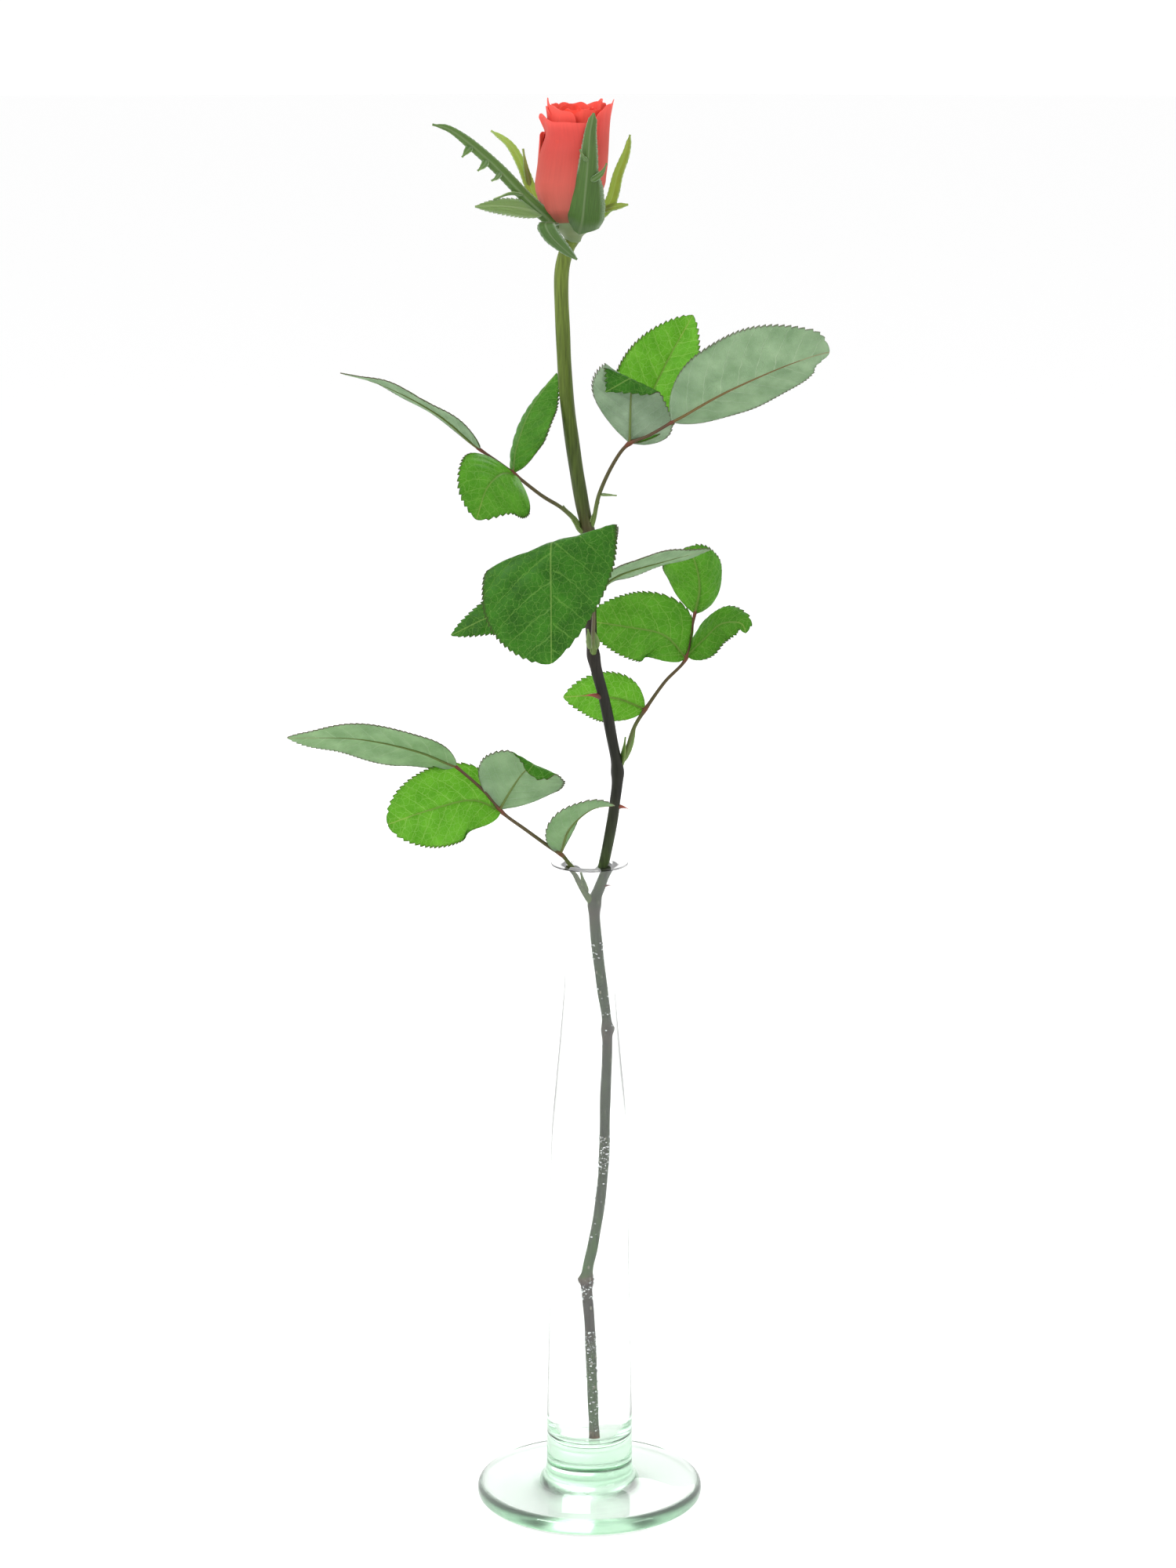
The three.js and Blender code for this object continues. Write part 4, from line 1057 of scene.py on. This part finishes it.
# %% Stalks and midribs
STALK_RADIUS = (0.8, 0.5)  # at the stem and at the last leaflet
STALK_RINGS, STALK_SIDES = 70, 12
JOINT_RISE, JOINT_REACH = 0.16, 1.5  # how far a joint stands out, and how far along the stalk it is felt
FOOT_RISE, FOOT_REACH = 0.5, 0.06  # the same for the foot, whose reach is a share of the length
JOINT_RED = 0.7
MIDRIB_RADIUS = (0.5, 0.12)
MIDRIB_SHARE = 0.82  # of the blade's length
MIDRIB_RINGS, MIDRIB_SIDES = 40, 8
MIDRIB_RED, MIDRIB_PALE = 0.6, 6  # how red its foot is, and how fast that fades
MIDRIB_TONE = 0.12  # its place in the colours of the stalk


def stalk(points, joints):
    """A leaf stalk that thickens at its foot and at each joint, where it also turns red."""
    shares = np.linspace(0, 1, STALK_RINGS)
    line, _ = line_through(points, shares)
    near = sum(np.exp(-(np.linalg.norm(line - joint, axis=1) / JOINT_REACH) ** 2) for joint in joints)
    foot = np.exp(-(shares / FOOT_REACH) ** 2)
    radii = np.interp(shares, (0, 1), STALK_RADIUS) + JOINT_RISE * near + FOOT_RISE * foot
    redness = JOINT_RED * np.clip(near, 0, 1)
    return tube(line, radii, STALK_SIDES, STALK, np.column_stack([redness, shares, 0 * shares]))


def midrib(rib, up, up_tip, red):
    """The raised rib under a blade, for the first four fifths of its length."""
    shares = np.linspace(0, MIDRIB_SHARE, MIDRIB_RINGS)
    line, _ = line_through(rib, shares)
    forward = unit(np.gradient(line, axis=0))
    over = turned_to(carried(up, forward), forward, up_tip)
    radii = np.interp(shares, (0, MIDRIB_SHARE), MIDRIB_RADIUS)
    under = line - over * (radii * np.minimum(1, shares * 12))[:, None]
    redness = np.clip(MIDRIB_RED - MIDRIB_PALE * shares, MIDRIB_RED * red, 1)
    return tube(under, radii, MIDRIB_SIDES, STALK,
                np.column_stack([redness, MIDRIB_TONE + 0 * shares, 0 * shares]))


# %% Build the leaves
ROOT_PLACES = 81  # points of a stalk where a leaflet can be rooted
STIPULE_FORM = {"outline": LANCE, "tooth_length": 3, "bite": 0.1, "veins": 2, "wave": 0.1, "thickness": 0.3,
                "puff": 0, "finish": (STIPULE,) * 3}


def rooted(rib, along):
    """A midrib moved so that it starts at the nearest point of its stalk."""
    nearest = np.argmin(np.linalg.norm(along - np.array(rib[0]), axis=1))
    return [tuple(along[nearest]), *rib[1:]]


def leaf(stalk_points, stipules, leaflets):
    """All the surfaces of one compound leaf, with every blade rooted on its stalk."""
    along, _ = line_through(stalk_points, np.linspace(0, 1, ROOT_PLACES))
    ribs = [rooted(spec["rib"], along) for spec in leaflets]
    parts = [stalk(stalk_points, [rib[0] for rib in ribs])]
    for spec in stipules:
        parts.append(blade(rooted(spec["rib"], along), spec["up"], spec["width"], spec["width"],
                           **STIPULE_FORM))
    for rib, spec in zip(ribs, leaflets):
        form = {key: value for key, value in spec.items() if key != "red"}
        ridge = midrib(rib, spec["up"], spec.get("up_tip"), spec.get("red", 0))
        parts += [blade(**{**form, "rib": rib}), ridge]
    return parts


for name, spec in LEAVES.items():
    make_piece("rose_" + name, leaf(spec["stalk"], spec["stipules"], spec["leaflets"]), LEAF_FINISHES,
               [name])

# %% [markdown]
# ## The calyx
# Under the bud sits a small green cup, and from its rim grow five sepals. Some of them carry leafy
# side lobes. The outside of a sepal is green; the inside and the edges are covered with short white down.

# %% Where every sepal goes
BUD_X = -5.7  # where the bud's axis stands


def profile(shares, widths):
    """An outline drawn through a few widths."""
    return lambda s: np.interp(s, shares, widths)


TAILED = profile((0, 0.1, 0.25, 0.42, 0.56, 0.8, 0.95, 1), (0.85, 1, 1, 0.82, 0.5, 0.32, 0.2, 0))
TAPERED = profile((0, 0.12, 0.45, 0.75, 0.93, 1), (0.8, 1, 0.95, 0.75, 0.4, 0))
SEPALS = [
    {"rib": [(-3.6, -6.4, 458.8), (-2.4, -12.4, 464.2), (-1.4, -14.4, 474), (-0.4, -14.4, 485),
             (0.2, -13.6, 493), (1.4, -13.2, 499.6)], "up": (0.1, 1, 0.3), "left": 8, "right": 8,
     "fold": (18, 18), "roll": (26, 26), "outline": TAILED},
    {"rib": [(-10.6, -5, 460.6), (-15.6, -6.4, 465.2), (-22, -7.6, 471.4), (-30.5, -9.4, 480.4),
             (-39.5, -11.4, 488.6), (-46.8, -13, 494), (-52.8, -14, 495.8)], "up": (0.1, 1, 0),
     "left": 2.5, "right": 2.5, "fold": (22, 22), "roll": (20, 20), "outline": TAPERED},
    {"rib": [(-12, 5, 461.6), (-18.8, 9, 470), (-23.4, 10.4, 481), (-27.6, 11.4, 488),
             (-33.8, 12, 492.6)], "up": (0.45, -0.85, 0.2), "left": 2.1, "right": 2.1, "fold": (10, 10),
     "outline": TAPERED, "finish": (0, 0, 0)},
    {"rib": [(-0.6, 5, 461), (6.8, 7.6, 468), (9.8, 8.4, 478), (12.6, 8.6, 485.4), (13.8, 8.4, 491.4)],
     "up": (-0.5, -0.86, 0.1), "left": 2.1, "right": 2.4, "fold": (16, 16), "outline": TAPERED,
     "finish": (0, 0, 0)},
    {"rib": [(-10.6, -7, 462.4), (-14.8, -11.4, 462.6), (-13, -13.8, 458.8), (-8.8, -14.6, 454.6),
             (-4.2, -14.8, 450.8)], "up": (0.4, 0.6, -0.7), "up_tip": (0.5, 0.85, 0.4), "left": 3.3,
     "right": 3.3, "fold": (8, 8), "outline": OVATE, "finish": (1, 1, 1)},
]
SIDE_LEAVES = [
    {"rib": [(-15.4, -5.8, 465.6), (-24, -8, 467.6), (-31, -9.6, 468.4), (-38.8, -10, 468.2)],
     "up": (0, -0.9, 0.4), "left": 3.3, "right": 3, "tooth_length": 1.6, "bite": 0.35, "outline": OVATE,
     "finish": (2, 2, 2)},
    {"rib": [(3.8, 6.4, 465.6), (8, 5.4, 467), (13.2, 4, 468)], "up": (0, -0.7, 0.7), "left": 1.5,
     "right": 1.5, "tooth_length": 2, "bite": 0.25, "outline": OVATE, "finish": (0, 0, 0)},
    {"rib": [(0.4, -14.4, 477), (4, -14.2, 479.6), (5.8, -14.2, 483)], "up": (0.2, 1, 0.1), "left": 1.1,
     "right": 1.1},
    {"rib": [(-0.6, -14.6, 483.6), (-2.4, -14.8, 485.4), (-3.2, -15, 487.6)], "up": (0.2, 1, 0.1),
     "left": 0.7, "right": 0.6},
    {"rib": [(-39.5, -11.2, 488.6), (-41, -11.4, 487), (-43, -12, 484.8)], "up": (0.4, 0.9, 0.1),
     "left": 1.5, "right": 1.1},
    {"rib": [(-34.4, -10, 484), (-35.6, -10.4, 482), (-37.8, -11, 480.2)], "up": (0.4, 0.9, 0.1),
     "left": 1.4, "right": 1.1},
    {"rib": [(-30, -9, 480), (-31.2, -9.6, 478), (-33.2, -10, 476.8)], "up": (0.4, 0.9, 0.1), "left": 1,
     "right": 1},
    {"rib": [(-22.6, -8, 472), (-27, -8.6, 472.4), (-32.4, -9.4, 470.6)], "up": (0, 0.9, 0.4),
     "left": 0.7, "right": 0.5},
    {"rib": [(-20.6, 9.6, 474), (-21.8, 9.6, 480), (-22.8, 10, 486.6)], "up": (0.45, -0.85, 0.2),
     "left": 1.1, "right": 1.1},
]
CUP = [(0, 455.4), (2.6, 455.4), (2.9, 456.8), (3.6, 458), (5.2, 459), (6.6, 460.4), (7.4, 462),
       (7.6, 463.4), (7, 463.8), (0, 463)]
CUP_SPAN = (455, 9)  # the height where its colours start, and how many millimetres they take
USUAL_SEPAL = {"outline": LANCE, "veins": 3, "wave": 0.15, "thickness": 0.5, "puff": 0.05,
               "finish": (0, 1, 0), "bite": 0.15}

# %% [markdown]
# Down is a coat of fine hairs, so it makes the green paler and hides its shine, most of all where the eye
# looks along the surface: a little sheen gives that. It gathers towards the edges.

# %% Downy skin
DOWN = "#A4B2A0"
DOWN_START, DOWN_MOST = 0.72, 0.85  # where it starts on the way to the edge, and its share at the edge
TUFT_WIDTH = 0.3333  # millimetres
SEPAL_FIBRE = (2.6, 0.12, 1)  # fibres per millimetre: across, along


def sepal_material(name, colours, glow, glow_colour, rough, downy):
    """Green skin with long veins, shaded from base to tip, with white down towards the edges."""
    material, tree = new_material(name)
    masks = vein_masks(tree)
    body = mix(tree, masks["tip"], colours[0], colours[1])
    fibres = noise(tree, stretched(tree, masks["flat"], SEPAL_FIBRE), 1, 3.0)
    lined = shaded(tree, body, remap(tree, fibres, (0.3, 0.7), (0.75, 1.25)))
    ribbed = mix(tree, masks["midrib"], lined, colours[2])
    tufts = remap(tree, noise(tree, masks["flat"], TUFT_WIDTH), (0.35, 0.6))
    rim = remap(tree, masks["edge"], (DOWN_START, 1), (0, DOWN_MOST))
    amount = add(tree, "Math", {0: add(tree, "Math", {0: rim, 1: downy}), 1: tufts}, operation="MULTIPLY",
                 use_clamp=True)
    skin = add(tree, "BsdfPrincipled", {
        "Base Color": mix(tree, amount, ribbed, DOWN), "Roughness": rough, "Sheen Weight": 0.1,
        "Specular IOR Level": 0.25, "Normal": dents(tree, fibres, 0.4, 0.3)})
    add(tree, "OutputMaterial", {"Surface": thin_sheet(tree, skin, glow, glow_colour)})
    return material


CALYX_FINISHES = [
    sepal_material("sepal_inside_downy", ("#7A9838", "#9AAE54", "#A4B47C"), 0.45, "#D8EC90", 0.7, 0.2),
    sepal_material("sepal_outside_green", ("#3C5E22", "#4A6634", "#5E744A"), 0.15, "#B8D080", 0.5, 0.0),
    sepal_material("calyx_cup_skin", ("#6A8456", "#607A4C", "#7C9068"), 0.3, "#D0E460", 0.4, 0.1),
]
CUP_SKIN = 2


# %% Build the calyx
def bud_core(outline, finish, low, tall, inward):
    """A turned body on the bud's axis, which carries its height as a share and how far inward it is."""
    core = turned(rounded(outline, 2), finish)
    core["points"] = core["points"] + [BUD_X, 0, 0]
    share = (core["points"][:, 2] - low) / tall
    core["grow"] = np.column_stack([0 * share, share, 0 * share + inward])
    return core


cup = bud_core(CUP, CUP_SKIN, *CUP_SPAN, inward=0)
sepals = [blade(**{**USUAL_SEPAL, **spec}) for spec in SEPALS + SIDE_LEAVES]
make_piece("calyx_with_sepals", [cup, *sepals], CALYX_FINISHES, ["calyx"])

# %% [markdown]
# ## The petals
# The bud is still shut: broad petals wrap round one another, each with one side tucked under its neighbour.
# The front one is scooped and rolls its lip outward, and behind it the tips of the next ones stand up. A
# petal here is a sheet in cylinder coordinates: an angle, a height and a radius that follows the bud's
# outline. `inset` is how far inside that outline it lies, `top` how high it reaches at its left, middle and
# right, `flare` how far its lip opens there, and `tuck` how much further out its right side lies.

# %% Where every petal goes
BUD_BASE, BUD_TOP = 459.5, 504
BUD_OUTLINE = [(0, 4.2), (0.06, 7.4), (0.16, 10.6), (0.36, 12.6), (0.6, 12.5), (0.85, 12.1), (1, 12.3)]
BUD_LEAN = [(0, 0), (0.3, -1.3), (0.5, 0), (0.85, 1.2), (1, 1.6)]  # sideways, by height as a share
PETALS = [  # turn, spread, inset, top, flare, tuck, and for one how much it has of a waist
    (-122, 72, 0, (0.93, 0.83, 0.86), (1.5, 0.9, 0.4), 0.4, 1),
    (158, 40, 0.1, (0.7, 0.74, 0.66), (0, 0.2, 0.3), -0.3),
    (-14, 52, 0.4, (0.9, 0.96, 1.0), (0, 0.3, 0.8), 0.7),
    (60, 54, 0.5, (0.96, 0.96, 0.9), (0.3, 0.5, 0.4), 0.9),
    (128, 54, 0.9, (0.9, 0.93, 0.62), (0.3, 0.4, 0.2), 0.5),
    (-140, 62, 1.5, (1.04, 0.94, 0.92), (0.3, 0.2, 0.2), 0.5),
    (186, 42, 2.1, (0.88, 0.94, 0.88), (0.4, 0.8, 0.4), 0.2),
    (158, 50, 4.0, (0.91, 0.96, 0.9), (0.8, 1.2, 0.2), 0.6),
    (88, 52, 3.6, (0.93, 0.96, 0.93), (0.2, 0.5, 0.2), 0.7),
    (24, 50, 3.4, (0.96, 0.99, 0.93), (0.2, 0.6, 0.2), 0.7),
    (-60, 56, 3.0, (0.9, 0.92, 0.9), (0.2, 0.3, 0.2), 0.7),
    (120, 70, 6.0, (0.93, 0.94, 0.92), (0, 0, 0), 0.7),
    (0, 70, 6.2, (0.91, 0.93, 0.9), (0, 0, 0), 0.7),
    (-120, 70, 6.4, (0.9, 0.92, 0.9), (0, 0, 0), 0.7),
    (60, 84, 8.4, (0.89, 0.91, 0.88), (0, 0, 0), 0.6),
    (-100, 84, 8.6, (0.88, 0.9, 0.88), (0, 0, 0), 0.6),
]
HEART = [(0, 460.6), (3.4, 460.6), (5.6, 463), (6, 470), (4.6, 482), (2.6, 492), (0, 497)]
HEART_SPAN = (460, 44)
print("petals:", len(PETALS))

# %% The form of a petal
PETAL_ROWS, PETAL_COLUMNS = 44, 37
PETAL_THICKNESS = 0.4
PETAL_FOOT = 0.045  # its height as a share of the bud's
PETAL_GAP = 0.3  # between the bud's outline and the outermost petal
SHOULDER, SHOULDER_BEND = 0.07, 7  # how far the corners of the tip drop, and how suddenly
LIP_START, LIP_BEND = 0.72, 2.4  # where along the petal the lip opens, and how suddenly
WAIST, WAIST_HEIGHT, WAIST_REACH = 1.1, 0.82, 0.13  # how far, where and how widely the front one narrows
CROWN_WAVE, PETAL_RIPPLE, PETAL_FRILL = 0.006, 0.22, 0.1  # of the tip, the whole sheet and its upper part
TIP_THINNER = 0.5  # how much of its thickness a petal loses up to its tip


def through_three(values, u):
    """A smooth run through three values, at u = -1, 0 and 1."""
    left, middle, right = values
    return middle + (right - left) / 2 * u + ((right + left) / 2 - middle) * u ** 2


def petal(turn, spread, inset, top, flare, tuck, waist=0):
    """One petal as a slab, from the foot of the bud to its lip."""
    t = np.linspace(0, 1, PETAL_ROWS)[:, None]
    u = np.sin(np.linspace(-math.pi / 2, math.pi / 2, PETAL_COLUMNS))[None, :]
    phases = random.uniform(0, 2 * math.pi, 3)
    crown = (through_three(top, u) - SHOULDER * np.abs(u) ** SHOULDER_BEND
             + CROWN_WAVE * np.sin(7 * u + phases[0]))
    share = PETAL_FOOT + (crown - PETAL_FOOT) * t
    narrowing = 0.6 + 0.4 * np.sin(math.pi * np.minimum(1, 0.25 + t * 0.6))
    angle = np.radians(turn + spread * u * narrowing)
    body = (np.interp(share, *zip(*BUD_OUTLINE)) - PETAL_THICKNESS / 2 - PETAL_GAP
            - inset * np.minimum(1, 0.35 + 1.6 * t))
    body = body - waist * WAIST * np.exp(-((t - WAIST_HEIGHT) / WAIST_REACH) ** 2) * (1 - 0.7 * u)
    lip = through_three(flare, u) * np.clip((t - LIP_START) / (1 - LIP_START), 0, 1) ** LIP_BEND
    ripple = (PETAL_RIPPLE * t * np.sin(4 * u + 3 * t + phases[1])
              + PETAL_FRILL * np.sin(9 * u + phases[2]) * t ** 2)
    radius = np.maximum(0.7, body + tuck * u * np.minimum(1, 3 * t) + lip + ripple)
    height = BUD_BASE + (BUD_TOP - BUD_BASE) * share
    middle = BUD_X + np.interp(share, *zip(*BUD_LEAN))
    sheet = np.stack([middle + radius * np.cos(angle), radius * np.sin(angle), height], -1)
    one = np.ones(share.shape)
    return slab(sheet, 0, PETAL_THICKNESS / 2 * (1 - TIP_THINNER * t), (0, 0, 0),
                np.stack([radius * np.radians(spread) * u, height - BUD_BASE, one], -1),
                np.stack([np.abs(u) * one, t * one, inset / 9 * one], -1))


# %% [markdown]
# Petals get their velvet from cells shaped like tiny cones, which catch light at a glancing angle: a little
# sheen gives that. They are thin, so a third of what the eye sees is light that has come through, warmer
# and redder than the surface. The outer petals are darker towards the base: partly their own colour, partly
# painted shade where the calyx shades them. The inner petals are mixed towards a lighter red, which is
# painted light against the shade deep in the bud. Fine veins fan upward.

# %% Velvety petal
# darker towards the base: partly the petals' own colour, partly painted shade where the calyx shades them
PETAL_COLOURS_AND_SHADE = [(0.0, "#8E6448"), (0.12, "#BA685A"), (0.35, "#CA665A"), (0.7, "#CA544C"),
                 (0.92, "#DA5650"), (1.0, "#EC625A")]
# painted light: the inner petals and the heart are mixed towards this lighter red, against the shade deep in
# the bud
INNER_LIT_COLOUR = "#FF5C48"
PETAL_VEIN = (1.7, 0.07, 1)  # veins per millimetre: across, along

velvet, tree = new_material("rose_petal_velvet")
_, to_lip, inward = parts_of(tree, reading(tree, "grow"))
# the ramp carries painted shade at the base, and the mix towards the inner colour is painted light
petal_colour_light_and_shade = mix(tree, inward, ramp(tree, to_lip, PETAL_COLOURS_AND_SHADE), INNER_LIT_COLOUR)
fan = noise(tree, stretched(tree, reading(tree, "place"), PETAL_VEIN), 1, 4.0)
veined = shaded(tree, petal_colour_light_and_shade, remap(tree, fan, (0.3, 0.7), (0.94, 1.06)))
velvet_shader = add(tree, "BsdfPrincipled", {
    "Base Color": veined, "Roughness": 0.55, "IOR": 1.4, "Specular IOR Level": 0.25,
    "Sheen Weight": 0.25, "Sheen Roughness": 0.4, "Sheen Tint": "#FFB8A8",
    "Normal": dents(tree, fan, 0.2, 0.3)})
add(tree, "OutputMaterial", {"Surface": thin_sheet(tree, velvet_shader, 0.35, "#FFA894")})

# %% Build the bud
heart = bud_core(HEART, 0, *HEART_SPAN, inward=1)
make_piece("rose_petals", [heart, *[petal(*spec) for spec in PETALS]], [velvet], ["petals"],
           crease=70)

# %% [markdown]
# ## Sizes
# The dressed rose has to fill the same box as the construction model. Both boxes are printed.

# %% Print both boxes
new_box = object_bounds()
for title, box in (("construction", cad_box), ("dressed", new_box)):
    print(title, [[round(c / MM, 1) for c in corner] for corner in box])
